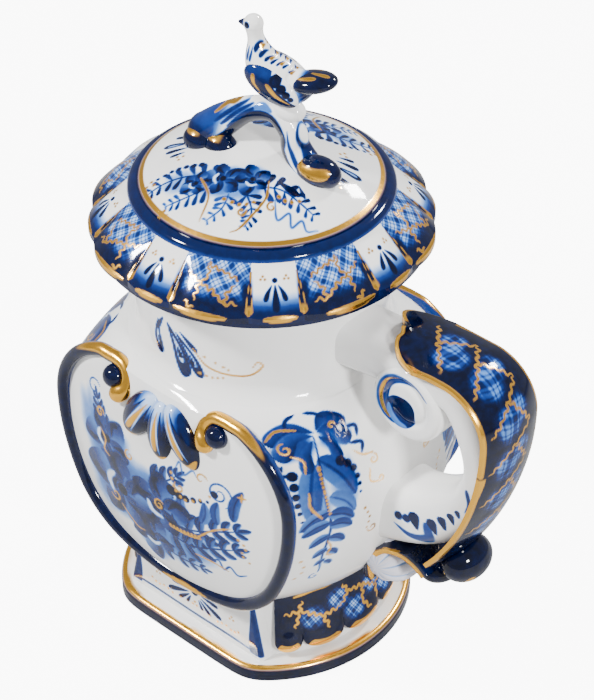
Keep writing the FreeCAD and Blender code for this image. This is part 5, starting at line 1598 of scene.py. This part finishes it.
@dataclass
class Handle:
    """The painted strap, its core, the volute above, and the scroll, shell and knob below, in mm."""

    tip_x: float = 61.0
    ridge_z: float = 164.3
    bend: Point = (95.0, 141.8)
    reach_x: float = 117.5
    end: Point = (94.5, 72.3)
    half: float = 15.0
    thick: float = 5.0
    sag: float = 3.4
    notch: float = 7.0
    shoulder: float = 14.0
    near_cut: float = 7.0
    first_cell: float = 15.0
    cell: float = 17.0
    cells: int = 6
    gilt_start: float = 17.5
    gilt_break: float = 82.5
    droop: float = 3.0
    roll: tuple[float, float, float] = (78.0, 141.0, 15.0)
    roll_half: float = 13.0
    roll_round: float = 2.5
    groove_turn: float = 200.0
    groove_inner: float = 6.4
    groove_growth: float = 4.6
    groove_width: float = 1.3
    scroll_hub: Point = (78.0, 54.5)
    scroll_gilt: Point = (15.8, 15.2)
    scroll_flank: float = 10.6
    web: tuple = ((44.0, 148.0, 10.0, 12.0), (62.0, 150.0, 9.0, 12.0), (80.0, 152.0, 8.0, 12.0),
                  (97.0, 149.0, 7.0, 12.0), (107.0, 128.0, 6.5, 12.0), (104.5, 110.0, 7.5, 12.0),
                  (94.0, 95.5, 10.0, 12.0), (80.0, 86.5, 12.0, 12.5), (62.0, 82.0, 14.0, 15.0))
    fan: tuple[float, float, float] = (66.8, 57.2, 11.4)
    fan_half: float = 12.8
    fan_petals: int = 9

    def dress(self, glaze: bpy.types.Material, shell: bpy.types.Material) -> None:
        """Build the strap, the roll, the core and the shell, and paint the other two pieces in place."""
        make_piece("handle_strap_glaze", Body.POT, [self.strap()], glaze, ["handle_strap"])
        make_piece("handle_volute_glaze", Body.POT, [self.volute()], glaze, ["handle_volute"])
        make_piece("handle_core_glaze", Body.POT, [self.core()], glaze, ["handle_core"])
        painted_solid("handle_scroll_glaze", "handle_scroll", Body.POT, glaze, 1.0, self.paint_scroll)
        make_piece("handle_shell_glaze", Body.POT, [self.flutes()], shell, ["handle_shell"], 60.0)
        painted_solid("handle_knob_glaze", "handle_knob", Body.POT, glaze, 1.0, self.paint_knob)

    def ridge(self) -> Array:
        """Draw the strap's crest: level, a quarter bend, then one long arc down to the scroll."""
        turn = np.linspace(0.0, math.pi / 2, 60)
        over = self.reach_x - self.bend[0]
        arc = np.stack([self.bend[0] + over * np.sin(turn), self.bend[1] + over * np.cos(turn)], 1)
        return np.vstack([line((self.tip_x, self.ridge_z), (self.bend[0], self.ridge_z), 40)[:-1], arc,
                          level_arc((self.reach_x, self.bend[1]), self.end, self.bend[1], 120)[1:]])

    def strap(self) -> Sheet:
        """Sweep an arched section along the crest, its upper end cut to two lobes."""
        crest = even(self.ridge(), 0.5)
        run = lengths(crest)
        way = heading(crest)
        over = line((-self.half, 0.0), (self.half, 0.0), 92)[:, 0]
        under = line((self.half, 0.0), (-self.half, 0.0), 20)[:, 0]
        v = np.concatenate([over, under])
        depth = np.concatenate([self.sag * (over / self.half) ** 2, np.full(under.size, self.thick)])
        width = np.abs(v)
        start = np.where(width < 6.0, self.notch * (1.0 - width / 6.0) ** 2,
                         self.shoulder * np.clip((width - 6.0) / 9.0, 0.0, 1.0) ** 2)
        start = start + self.near_cut * ease(0.0, -5.0, v)
        share = np.concatenate([[0.0], np.linspace(0.0, 1.0, 300), [1.0]])[:, None]
        u = start + (run[-1] - start) * share
        deep = np.broadcast_to(depth, u.shape).copy()
        deep[(0, -1), :] = (self.sag * (width / self.half) ** 2 + self.thick) / 2
        edge = ease(2.0, 0.0, u - start)
        deep[:, :over.size] += 0.5 * edge[:, :over.size]
        deep += self.droop * ease(30.0, 10.0, u) * ease(-3.0, -self.half, v)
        spot = [np.interp(u, run, crest[:, axis]) for axis in (0, 1)]
        lean = [np.interp(u, run, way[:, axis]) for axis in (0, 1)]
        across = np.broadcast_to(v, u.shape)
        grid = np.stack([spot[0] + lean[1] * deep, across, spot[1] - lean[0] * deep], -1)
        paint = Canvas(across, u)
        upper = np.broadcast_to(np.arange(v.size) < over.size, u.shape)
        self.paint_strap(paint, (u - start).ravel(), upper.ravel())
        return Sheet(grid, True, (80.0, 0.0, 120.0), paint=paint)

    def paint_strap(self, paint: Canvas, inset: Array, upper: Array) -> None:
        """Paint it navy with plaid windows, a gold crackle lattice and gilt edges."""
        paint.cobalt[:] = 0.97
        plaid = paint.plaid(8.0, 7.6, 0.3, 0.95)
        far, middle, near = 7.0, -1.0, -12.0
        for row in range(self.cells):
            u = self.first_cell + self.cell * row
            for v, ahead, size in ((-4.0, 14.0, 6.0), (3.0, 10.0, 4.5)):
                apart = np.hypot(paint.s - v, (paint.t - u - ahead) * 0.8)
                paint.fill(ease(size * 1.2, size * 0.6, apart) * upper, plaid)
        for row in range(self.cells):
            u = self.first_cell + self.cell * row
            for stops in ([(far, u), (middle, u + 6.0), (near, u + 16.0)],
                          [(middle, u + 6.0), (far, u + self.cell)]):
                paint.zigzag(stops, 0.62, 0.6, 3.4)
        width = np.abs(paint.s)
        break_off = ease(0.0, 1.0, np.abs(paint.t - self.gilt_break))
        below = ease(96.0, 84.0, paint.t) * (paint.t > self.gilt_break)
        thick = 1.0 + 0.9 * ease(26.0, 18.0, paint.t) + 1.1 * below
        edge = ease(-0.15, 0.15, width - self.half + thick) * break_off
        paint.gilt(edge * (paint.t > self.gilt_start))
        paint.gilt(ease(1.7, 1.3, inset) * (width > 1.2) * upper)

    def volute(self) -> Sheet:
        """Turn the roll about its level axis, with a spiral groove sunk into each end."""
        x, z, radius = self.roll
        turn = np.linspace(0.0, math.pi / 2, 8)
        flat = line((0.02, self.roll_half), (radius - self.roll_round, self.roll_half), 60)
        over = np.stack([radius - self.roll_round * (1 - np.sin(turn)),
                         self.roll_half - self.roll_round * (1 - np.cos(turn))], 1)
        half = np.vstack([flat, over[1:],
                          line((radius, self.roll_half - self.roll_round), (radius, 0.0), 12)[1:]])
        profile = np.vstack([half, (half * (1.0, -1.0))[::-1][1:]])
        angle = np.linspace(0.0, 2 * math.pi, 250, endpoint=False)[None]
        reach, level = profile[:, :1], profile[:, 1:]
        swing = (angle - math.radians(self.groove_turn)) % (2 * math.pi)
        winding = self.groove_inner + self.groove_growth * swing / (2 * math.pi)
        fade = ease(0.0, 0.9, swing) * ease(2 * math.pi, 2 * math.pi - 0.9, swing)
        ends = np.abs(level) > self.roll_half - 0.01
        groove = fade * np.exp(-((reach - winding) / self.groove_width) ** 2) * ends
        y = level - np.sign(level) * groove
        spread = np.broadcast_to(reach, y.shape)
        grid = np.stack([x + spread * np.cos(angle), y, z + spread * np.sin(angle)], -1)
        paint = Canvas(grid[..., 0] - x, grid[..., 2] - z)
        face = np.abs(grid[..., 1].ravel()) > self.roll_half - 3.0
        self.paint_volute(paint)
        paint.cobalt *= face
        paint.gold *= face
        return Sheet(grid, True, (x, 0.0, z), paint=paint)

    def paint_volute(self, paint: Canvas) -> None:
        """Paint a blue band that curls under a dark eye, with gold laid along it."""
        paint.stroke([(9.6, 6.4), (4.0, 10.0), (-2.4, 10.4), (-7.4, 7.8), (-9.8, 2.2), (-9.4, -4.4),
                      (-4.0, -9.6)], 7.0, 0.74, Brush.DROP, 0.5)
        paint.dots([(-2.0, -3.6)], 6.6, 0.78)
        paint.dots([(-0.4, -1.8)], 4.8, 0.93)
        paint.stroke([(-7.2, -2.0), (-6.4, -6.2), (-3.0, -9.0), (1.2, -9.2)], 2.6, 0.36, Brush.LEAF)
        paint.gild([(-3.0, 10.6), (-8.4, 7.4), (-10.9, 1.4), (-9.6, -5.0), (-6.4, -8.4)], 2.0, Brush.DROP)

    def core(self) -> Sheet:
        """Sweep a softened box, |y / w|^3 + |n / h|^3 = 1, along the web from the neck round to the belly."""
        curve = smooth_curve(self.web, 36)
        way = heading(curve[:, :2])
        curve, way = (np.vstack([rows[:1], rows, rows[-1:]]) for rows in (curve, way))
        whole = np.ones((len(curve), 1))
        whole[[0, -1]] = 0.0
        turn = np.linspace(0.0, 2 * math.pi, 4001)
        circle = (np.cos(turn), np.sin(turn))
        section = np.stack([np.sign(wave) * np.abs(wave) ** (2.0 / 3.0) for wave in circle])
        length = lengths(section.T)
        stops = np.linspace(0.0, length[-1], 168, endpoint=False)
        across, lift = (np.interp(stops, length, wave) for wave in section)
        deep = whole * curve[:, 2:3] * lift
        grid = np.stack([curve[:, :1] - way[:, 1:] * deep, whole * curve[:, 3:4] * across,
                         curve[:, 1:2] + way[:, :1] * deep], -1)
        return Sheet(grid, True, (100.0, 0.0, 115.0), paint=self.paint_core(grid.reshape(-1, 3)))

    def flutes(self) -> Sheet:
        """Draw a ball with its poles at either side, its girth waved into petals as a root of a cosine, and
        painted shade in its valleys.
        """
        x, z, radius = self.fan
        up = np.linspace(-math.pi / 2, math.pi / 2, 70)[:, None]
        turn = np.linspace(0.0, 2 * math.pi, 270, endpoint=False)[None]
        crest = np.abs(np.cos(self.fan_petals * turn / 2)) ** 0.7
        reach = radius * np.cos(up) ** 0.8 * (0.86 + 0.14 * crest)
        y = np.broadcast_to(self.fan_half * np.sin(up), reach.shape)
        grid = np.stack([x + reach * np.cos(turn), y, z + reach * np.sin(turn)], -1)
        paint = Canvas(np.broadcast_to(crest, reach.shape), reach)
        # Painted shade: pale blue down the valleys between the petals, and a faint blue line along each crest
        # near the ends.
        paint.fill(ease(0.5, 0.1, paint.s) * ease(1.0, 5.0, paint.t), 0.2)
        paint.fill(ease(0.9, 1.0, paint.s) * ease(9.0, 3.0, paint.t) * 0.6, 0.08)
        return Sheet(grid, True, (x, 0.0, z), paint=paint)

    def paint_core(self, spots: Array) -> Canvas:
        """Paint a row of commas on either side, from a curl low on the web up its inner curve."""
        paint = Canvas(spots[:, 0], spots[:, 2])
        paint.stroke([(75.0, 85.0), (82.5, 82.4), (90.0, 85.4), (88.6, 92.5)], 5.4, 0.6, Brush.DROP)
        paint.dots([(80.0, 89.4), (76.6, 89.0)], 1.7, 0.86)
        paint.drop(85.2, 86.6, 112.0, 7.4, 6.4, 0.9)
        for s, t, length in ((93.6, 89.0, 7.0), (97.6, 93.6, 6.0), (101.0, 98.6, 4.8), (103.4, 103.0, 3.4)):
            paint.drop(s, t, 118.0, length, length * 0.84, 0.86)
        paint.stroke([(105.4, 107.0), (107.0, 112.0), (105.6, 118.0)], 2.2, 0.74, Brush.DROP)
        flank = np.abs(spots[:, 1]) > 5.0
        paint.cobalt *= flank
        return paint

    def paint_scroll(self, spots: Array) -> Canvas:
        """Paint the band navy with a gold line along its lower edge."""
        paint = Canvas(spots[:, 0], spots[:, 2])
        paint.cobalt[:] = 0.9
        reach = np.hypot(spots[:, 0] - self.scroll_hub[0], spots[:, 2] - self.scroll_hub[1])
        edge = ease(*self.scroll_gilt, reach)
        paint.gilt(edge * (np.abs(spots[:, 1]) > self.scroll_flank))
        return paint

    def paint_knob(self, spots: Array) -> Canvas:
        """Paint both lobes navy with a gold stroke under the upper one."""
        paint = Canvas(spots[:, 0], spots[:, 2])
        paint.cobalt[:] = 0.97
        paint.gild([(84.0, 62.0), (88.0, 59.6), (93.0, 61.0)], 2.2, Brush.DROP)
        paint.gild([(98.0, 66.2), (103.0, 67.4), (106.0, 71.5)], 1.8, Brush.LEAF)
        return paint


@dataclass
class Spout:
    """The hollow spout on the far side, in mm."""

    rings: tuple = ((-43.0, 106.0, 14.0), (-51.0, 117.0, 12.5), (-64.0, 137.0, 9.2), (-71.0, 157.0, 7.0))
    wall: float = 2.6

    def dress(self, glaze: bpy.types.Material) -> None:
        """Build the outside, the lip and the bore as one turned-in skin, and paint its sprig and lip."""
        curve = smooth_curve(self.rings, 40)
        path = np.stack([curve[:, 0], np.zeros(len(curve)), curve[:, 1]], 1)
        outside = tube(path, curve[:, 2], 96)
        inside = tube(path, curve[:, 2] - self.wall, 96)[::-1]
        grid = np.concatenate([outside, (outside[-1:] * 0.75 + inside[:1] * 0.25) + (-0.2, 0.0, 0.5),
                               inside], 0)
        rows = np.arange(len(grid))[:, None]
        tip_x = self.rings[-1][0]
        paint = Canvas(grid[..., 0], grid[..., 2])
        outer = np.broadcast_to(rows < len(outside) + 1, grid.shape[:2]).ravel()
        paint.fern([(-52.0, 117.0), (-60.0, 129.0), (-66.0, 141.0)], 7, 6.0, 0.85)
        paint.trio(-67.5, 147.0)
        paint.fill(ease(151.0, 156.0, paint.t - 0.2 * (paint.s - tip_x)), 0.86)
        paint.cobalt *= outer
        paint.gilt(outer * ease(155.0, 155.6, paint.t - 0.22 * (paint.s - tip_x)))
        paint.gold *= outer
        make_piece("spout_glaze", Body.POT, [Sheet(grid, True, (-62.0, 0.0, 135.0), paint=paint)], glaze,
                   ["spout"])


@dataclass
class Finial:
    """The bird on its arched branch, in mm and degrees, turned about the upright axis.

    Attributes:
        turn: How far the whole finial is turned.
        top: The dome's top, from which the wing, the toes, the branch's rings and the bird's rings rise.
        branch: Rings of run, rise and girth along the branch.
        bird: Rings of run, rise and girth from the rump to the head.
    """

    turn: float = 14.5
    top: float = 208.6
    wing_run: float = 6.8
    wing_rise: float = 28.6
    wing_tilt: float = 24.0
    toe_sink: float = 2.6
    toe_radius: float = 5.3
    branch: tuple = ((-21.5, -1.0, 7.2), (-14.0, 6.3, 6.0), (-4.5, 13.2, 4.6), (5.5, 15.3, 4.4),
                     (12.0, 9.0, 4.8), (13.6, 2.6, 5.2), (18.0, -1.8, 5.6), (24.0, -2.6, 5.5),
                     (28.0, -2.2, 4.6))
    bird: tuple = ((19.5, 31.0, 3.6), (12.5, 27.8, 7.0), (5.2, 29.6, 7.9), (0.4, 34.6, 6.0),
                   (-1.7, 42.2, 3.0), (-2.6, 47.6, 3.3))

    def ringed(self, rings: Sequence[tuple[float, float, float]], sway: float = 0.0) -> Array:
        """Blend through rings of run, rise and girth, with round ends, swaying to one side past the arch."""
        curve = smooth_curve(rings, 26)
        path = np.stack([curve[:, 0], sway * ease(12.0, 25.0, curve[:, 0]), self.top + curve[:, 1]], 1)
        return tube(*capped(path, curve[:, 2]), 96)

    def wing(self, hand: int) -> Array:
        """Bend a flat ellipsoid round the breast: it draws in as the square of its height and length."""
        run, rise, tilt = self.wing_run, self.top + self.wing_rise, self.wing_tilt
        grid = ball((run, 7.0 * hand, rise), (11.0, 1.7, 5.9), tilt, 110, 150)
        turn = math.radians(tilt)
        across = (grid[..., 0] - run) * math.sin(turn) + (grid[..., 2] - rise) * math.cos(turn)
        along = (grid[..., 0] - run) * math.cos(turn) - (grid[..., 2] - rise) * math.sin(turn)
        grid[..., 1] -= hand * (0.04 * across ** 2 + 0.012 * along ** 2)
        return grid

    def outer(self, grid: Array, hand: int) -> tuple[Array, Array]:
        """Give each point's share towards the bend's outer side, 1 on it and -1 inside, and its girth."""
        middle = grid.mean(1)
        way = np.gradient(middle[:, (0, 2)], axis=0)
        way /= np.maximum(np.linalg.norm(way, axis=1, keepdims=True), 1e-9)
        away = grid - middle[:, None]
        girth = np.linalg.norm(away, axis=2)
        out = hand * (away[..., 2] * way[:, :1] - away[..., 0] * way[:, 1:])
        return np.clip(out / np.maximum(girth, 1e-9), -1.0, 1.0), girth

    def placed(self, grid: Array, paint: Canvas) -> Sheet:
        """Turn one grid to its place on the lid."""
        cosine, sine = math.cos(math.radians(self.turn)), math.sin(math.radians(self.turn))
        spin = np.array([[cosine, -sine, 0.0], [sine, cosine, 0.0], [0.0, 0.0, 1.0]])
        whole = grid @ spin.T
        return Sheet(whole, True, tuple(whole.reshape(-1, 3).mean(0)), paint=paint)

    def dress(self, glaze: bpy.types.Material) -> None:
        """Build the branch and the bird from ringed tubes and ellipsoids, each with its own paint."""
        low = self.top - self.toe_sink
        branch = ((self.ringed(self.branch, -4.0), self.paint_arch),
                  (ball((-22.2, -4.0, low), (6.4, 5.3, self.toe_radius)), self.paint_toe),
                  (ball((-13.8, -4.4, low), (6.4, 5.0, self.toe_radius)), self.paint_toe),
                  (ball((24.0, -4.0, self.top - 1.6), (8.5, 5.6, 5.6)), self.paint_heel),
                  (ball((10.5, 0.0, self.top + 17.2), (6.5, 4.4, 4.4)), self.bare))
        run, rise, _ = self.bird[-1]
        head = (run, 0.0, self.top + rise)
        tail = ball((19.6, 0.0, self.top + 30.9), (9.6, 6.2, 3.6), -14.0, 80, 100)
        bird = ((self.ringed(self.bird), self.paint_breast),
                (ball(head, (3.5, 3.4, 3.5), 0.0, 60, 80), self.paint_head),
                (self.beak(head), self.paint_beak), (tail, self.paint_tail),
                (self.wing(1), self.paint_wing), (self.wing(-1), self.paint_wing))
        for node, parts in (("finial_branch", branch), ("finial_bird", bird)):
            sheets = [self.placed(grid, painter(grid)) for grid, painter in parts]
            make_piece(node + "_glaze", Body.LID, sheets, glaze, [node], 60.0)

    def beak(self, head: Sequence[float]) -> Array:
        """Draw a short cone that drops a little, closed at its tip."""
        bill = np.linspace(0.0, 5.6, 14)
        cone = tube(np.stack([head[0] - bill, np.zeros(bill.size), head[2] - 0.12 * bill], 1),
                    3.0 * (1.0 - bill / 6.4) ** 0.9, 40)
        return np.concatenate([cone, cone[-1:].mean(1, keepdims=True).repeat(40, 1)], 0)

    def bare(self, grid: Array) -> Canvas:
        """Lay a canvas over one grid, seen from the side, and leave it white."""
        return Canvas(grid[..., 0], grid[..., 2])

    def paint_arch(self, grid: Array) -> Canvas:
        """Paint the branch with a navy underside, blue strokes up its white top and a dark end."""
        paint = self.bare(grid)
        share, _ = self.outer(grid, 1)
        paint.fill(ease(-0.3, -0.5, share.ravel()) * ease(16.0, 12.0, paint.s), 0.95)
        paint.stroke([(-14.0, 206.0), (-7.0, 213.5), (-3.0, 219.0), (4.0, 221.5), (8.0, 216.0),
                      (9.0, 207.0)], 7.5, 0.95, soft=0.6)
        paint.fill(ease(-13.0, -17.5, paint.s - 0.35 * (paint.t - 212.0)),
                   0.9 - 0.3 * ease(209.0, 216.0, paint.t))
        for shift in (0.0, 2.4, 4.8):
            paint.stroke([(-15.5 + shift, 216.5 - shift * 0.2), (-9.0 + shift, 222.6),
                          (-3.5 + shift, 226.8)], 1.6, 0.75, Brush.LEAF)
        paint.gild([(-16.2, 219.0), (-12.0, 223.0), (-9.0, 224.4), (-6.1, 227.0)], 0.9)
        paint.stroke([(-1.0, 225.4), (2.6, 226.6), (6.4, 225.6)], 2.2, 0.4, Brush.LEAF)
        paint.stroke([(8.6, 216.0), (9.4, 209.4), (13.4, 204.6), (20.0, 202.6), (29.0, 203.4)], 6.4, 0.93,
                     soft=0.5)
        paint.stroke([(14.6, 223.0), (16.4, 216.0), (20.6, 210.9), (28.0, 209.8)], 2.2, 0.8, Brush.DROP)
        paint.stroke([(12.2, 220.0), (13.6, 213.6), (17.0, 209.0), (22.0, 207.4)], 2.4, 0.7, Brush.DROP)
        paint.fill(ease(24.0, 28.0, paint.s), 0.9)
        return paint

    def paint_toe(self, grid: Array) -> Canvas:
        """Paint one toe navy with a gold crown."""
        paint = self.bare(grid)
        paint.cobalt[:] = 0.95
        aside = np.abs(paint.s - grid[..., 0].mean() + 2.5) - 1.5
        crown = ease(0.62, 0.8, (paint.t - (self.top - self.toe_sink)) / self.toe_radius)
        paint.gilt(crown * ease(3.0, 0.0, aside))
        return paint

    def paint_heel(self, grid: Array) -> Canvas:
        """Paint the heel navy with one gold stroke on its near side."""
        paint = self.bare(grid)
        paint.cobalt[:] = 0.93
        paint.stroke([(15.6, 212.5), (19.0, 209.6), (25.0, 208.6), (30.0, 209.2)], 5.0, brush=Brush.DROP,
                     coat=Coat.GOLD)
        paint.gold *= grid[..., 1].ravel() < -3.0
        return paint

    def paint_breast(self, grid: Array) -> Canvas:
        """Paint drops on the throat, drops down the back with gold on every second one, and a dark rump."""
        paint = self.bare(grid)
        for s, t in ((-4.4, 245.4), (-3.0, 245.0), (-1.6, 245.2)):
            paint.drop(s + 0.5, t + 4.4, -96.0, 5.4, 1.3, 0.66)
        share, girth = self.outer(grid, -1)
        saddle = Canvas(grid[..., 0], girth * np.arccos(share))
        for step in range(7):
            start = 1.6 + 1.9 * step
            saddle.drop(start, 0.4, 112.0, 5.6 - 0.5 * step, 1.5 - 0.1 * step, 0.8)
            if step % 2 == 0:
                saddle.drop(start + 0.6, 0.3, 108.0, 2.8, 1.2, 1.0, Coat.GOLD)
        back = (paint.t > 238.0) & (paint.s > -3.0)
        paint.cobalt = np.where(back, np.maximum(paint.cobalt, saddle.cobalt), paint.cobalt)
        paint.gold = np.where(back, saddle.gold, paint.gold)
        paint.fill(ease(15.0, 19.0, paint.s), 0.9)
        return paint

    def paint_head(self, grid: Array) -> Canvas:
        """Paint an eye on either side and a gold brow."""
        paint = self.bare(grid)
        paint.dots([(-3.6, 256.8)], 1.1, 1.0)
        paint.cobalt *= np.abs(grid[..., 1].ravel()) > 1.5
        paint.stroke([(-4.5, 260.2), (-1.8, 260.6), (0.6, 258.8)], 0.9, 1.0, coat=Coat.GOLD)
        return paint

    def paint_beak(self, grid: Array) -> Canvas:
        """Darken the beak towards its tip."""
        paint = self.bare(grid)
        paint.fill(ease(-5.0, -6.4, paint.s), 0.9)
        return paint

    def paint_tail(self, grid: Array) -> Canvas:
        """Paint the tail darker towards its end, with three gold drops along its top."""
        paint = self.bare(grid)
        paint.cobalt[:] = 0.5 + 0.45 * ease(12.0, 17.0, paint.s)
        top = Canvas(grid[..., 0], grid[..., 1])
        for stops in ([(14.6, -3.0), (18.0, -3.6), (22.4, -3.2)],
                      [(18.6, -0.2), (22.0, -0.8), (26.4, -0.6)],
                      [(14.6, 3.0), (18.0, 3.6), (22.4, 3.2)]):
            top.gild(stops, 1.7, Brush.DROP)
        paint.gold = top.gold
        return paint

    def paint_wing(self, grid: Array) -> Canvas:
        """Paint a navy wing with two gold drops, a bare upper edge and dark dots along it."""
        paint = self.bare(grid)
        paint.cobalt[:] = 0.9 - 0.2 * ease(238.0, 243.0, paint.t)
        paint.gild([(4.0, 236.0), (1.4, 238.4), (0.8, 241.6)], 1.8, Brush.DROP)
        paint.gild([(14.6, 232.8), (10.0, 235.6), (6.4, 239.4)], 1.8, Brush.DROP)
        tilt = math.radians(self.wing_tilt)
        run, rise = paint.s - self.wing_run, paint.t - self.top - self.wing_rise
        along = run * math.cos(tilt) - rise * math.sin(tilt)
        across = run * math.sin(tilt) + rise * math.cos(tilt)
        border = np.interp(along, (-3.0, -0.5, 2.0, 11.0), (7.0, 4.0, 2.0, -0.6))
        paint.cobalt *= 1.0 - ease(-0.2, 0.2, across - border)
        feather = Canvas(along, across)
        for place, radius in (((0.8, 4.2), 2.1), ((4.0, 2.9), 1.7), ((6.4, 2.0), 1.3), ((8.4, 1.2), 0.9)):
            feather.dots([place], radius, 0.97)
        paint.cobalt = np.maximum(paint.cobalt, feather.cobalt)
        return paint


@dataclass
class Studio:
    """The camera at the photograph's angle, a pale floor and soft lights.

    Attributes:
        azimuth: Where the camera stands round the pot, in degrees.
        elevation: How far above level it stands, in degrees.
        distance: How far off it stands, in mm.
        focal: Its focal length, in pixels of a picture of the image height.
        target: What it looks at, in mm.
        floor_half: Half the floor's width, in metres.
        floor_gap: How far below the foot the floor lies, in metres.
        lamp_size: How wide each light is, in metres.
        aim: What the lights face, in metres.
    """

    azimuth: float = 41.7928
    elevation: float = 38.6151
    distance: float = 900.0
    focal: float = 2422.54
    target: tuple[float, float, float] = (9.1587, 8.1868, 116.679)
    floor_half: float = 3.0
    floor_gap: float = 0.0002
    lamp_size: float = 0.15
    aim: tuple[float, float, float] = (0.0, 0.0, 0.11)

    def camera(self) -> None:
        """Place the camera along its line of sight and give it the photograph's field of view."""
        turn, rise = math.radians(self.azimuth), math.radians(self.elevation)
        back = Vector((math.sin(turn) * math.cos(rise), -math.cos(turn) * math.cos(rise), math.sin(rise)))
        right = Vector((math.cos(turn), math.sin(turn), 0.0))
        up = back.cross(right)
        eye = (Vector(self.target) + back * self.distance) * MM
        data = bpy.data.cameras.new("view")
        data.lens = self.focal * SENSOR / IMAGE_HEIGHT
        data.sensor_width = SENSOR
        data.clip_start = 0.01
        camera = bpy.data.objects.new("view", data)
        turn_matrix = Matrix((right, up, back)).transposed()
        camera.matrix_world = Matrix.Translation(eye) @ turn_matrix.to_4x4()
        bpy.context.scene.collection.objects.link(camera)
        bpy.context.scene.camera = camera

    def lamp(self, name: str, place: Sequence[float], power: float) -> None:
        """Hang one square soft light that faces the pot."""
        data = bpy.data.lights.new(name, "AREA")
        data.energy = power
        data.size = self.lamp_size
        lamp = bpy.data.objects.new(name, data)
        spot = Vector(place)
        aim = (Vector(self.aim) - spot).to_track_quat("-Z", "Y")
        lamp.matrix_world = Matrix.Translation(spot) @ aim.to_matrix().to_4x4()
        bpy.context.scene.collection.objects.link(lamp)

    def set_up(self) -> None:
        """Build the floor, the lights, the pale surroundings and the camera."""
        recipe = Recipe("pale_floor")
        seen = recipe.node("ShaderNodeLightPath", {}, {}, "Is Camera Ray")
        glow = recipe.node("ShaderNodeMix", {"data_type": "RGBA"},
                           {0: seen, 6: (0.0, 0.0, 0.0, 1.0), 7: (1.0, 1.0, 1.0, 1.0)}, 2)
        shade = recipe.node("ShaderNodeBsdfPrincipled", {}, {
            "Base Color": (0.4, 0.4, 0.4, 1.0), "Roughness": 0.7,
            "Emission Color": glow, "Emission Strength": 9.0})
        recipe.node("ShaderNodeOutputMaterial", {}, {"Surface": shade})
        reach = np.linspace(-self.floor_half, self.floor_half, 5)
        x, y = np.meshgrid(reach, reach)
        mesh = bpy.data.meshes.new("floor")
        spots = np.stack([x, y, np.full_like(x, -self.floor_gap)], -1).reshape(-1, 3)
        quads = grid_quads(np.arange(x.size).reshape(x.shape))
        mesh.from_pydata(spots.tolist(), [], quads.tolist())
        mesh.materials.append(recipe.material)
        floor = bpy.data.objects.new("floor", mesh)
        bpy.context.scene.collection.objects.link(floor)
        world = bpy.data.worlds.new("studio")
        world.use_nodes = True
        world.node_tree.nodes["Background"].inputs["Color"].default_value = (1.0, 1.0, 1.0, 1.0)
        sky = world.node_tree.nodes["Background"].inputs["Strength"]
        direct = world.node_tree.nodes.new("ShaderNodeLightPath")
        level = world.node_tree.nodes.new("ShaderNodeMath")
        level.operation = "MULTIPLY_ADD"
        level.inputs[1].default_value = 8.0
        level.inputs[2].default_value = 0.45
        world.node_tree.links.new(direct.outputs["Is Camera Ray"], level.inputs[0])
        world.node_tree.links.new(level.outputs[0], sky)
        bpy.context.scene.world = world
        self.lamp("key", (-0.55, -0.75, 0.95), 27.0)
        self.lamp("fill", (1.0, -0.3, 0.7), 17.0)
        self.lamp("back", (0.1, 0.9, 0.9), 13.0)
        self.camera()


def main() -> None:
    """Build every piece in order and note the sizes."""
    logging.basicConfig(level=logging.INFO, format="%(message)s")
    glaze = Glaze("painted_porcelain").make()
    Studio().set_up()
    flutes = Glaze("flute_porcelain", (0.78, 0.77, 0.86)).make()
    vessel = Vessel()
    vessel.dress(glaze)
    Base().dress(glaze)
    Cartouche().dress(vessel, glaze)
    Handle().dress(glaze, flutes)
    Spout().dress(glaze)
    Lid().dress(glaze)
    Finial().dress(glaze)


if __name__ == "__main__":
    main()
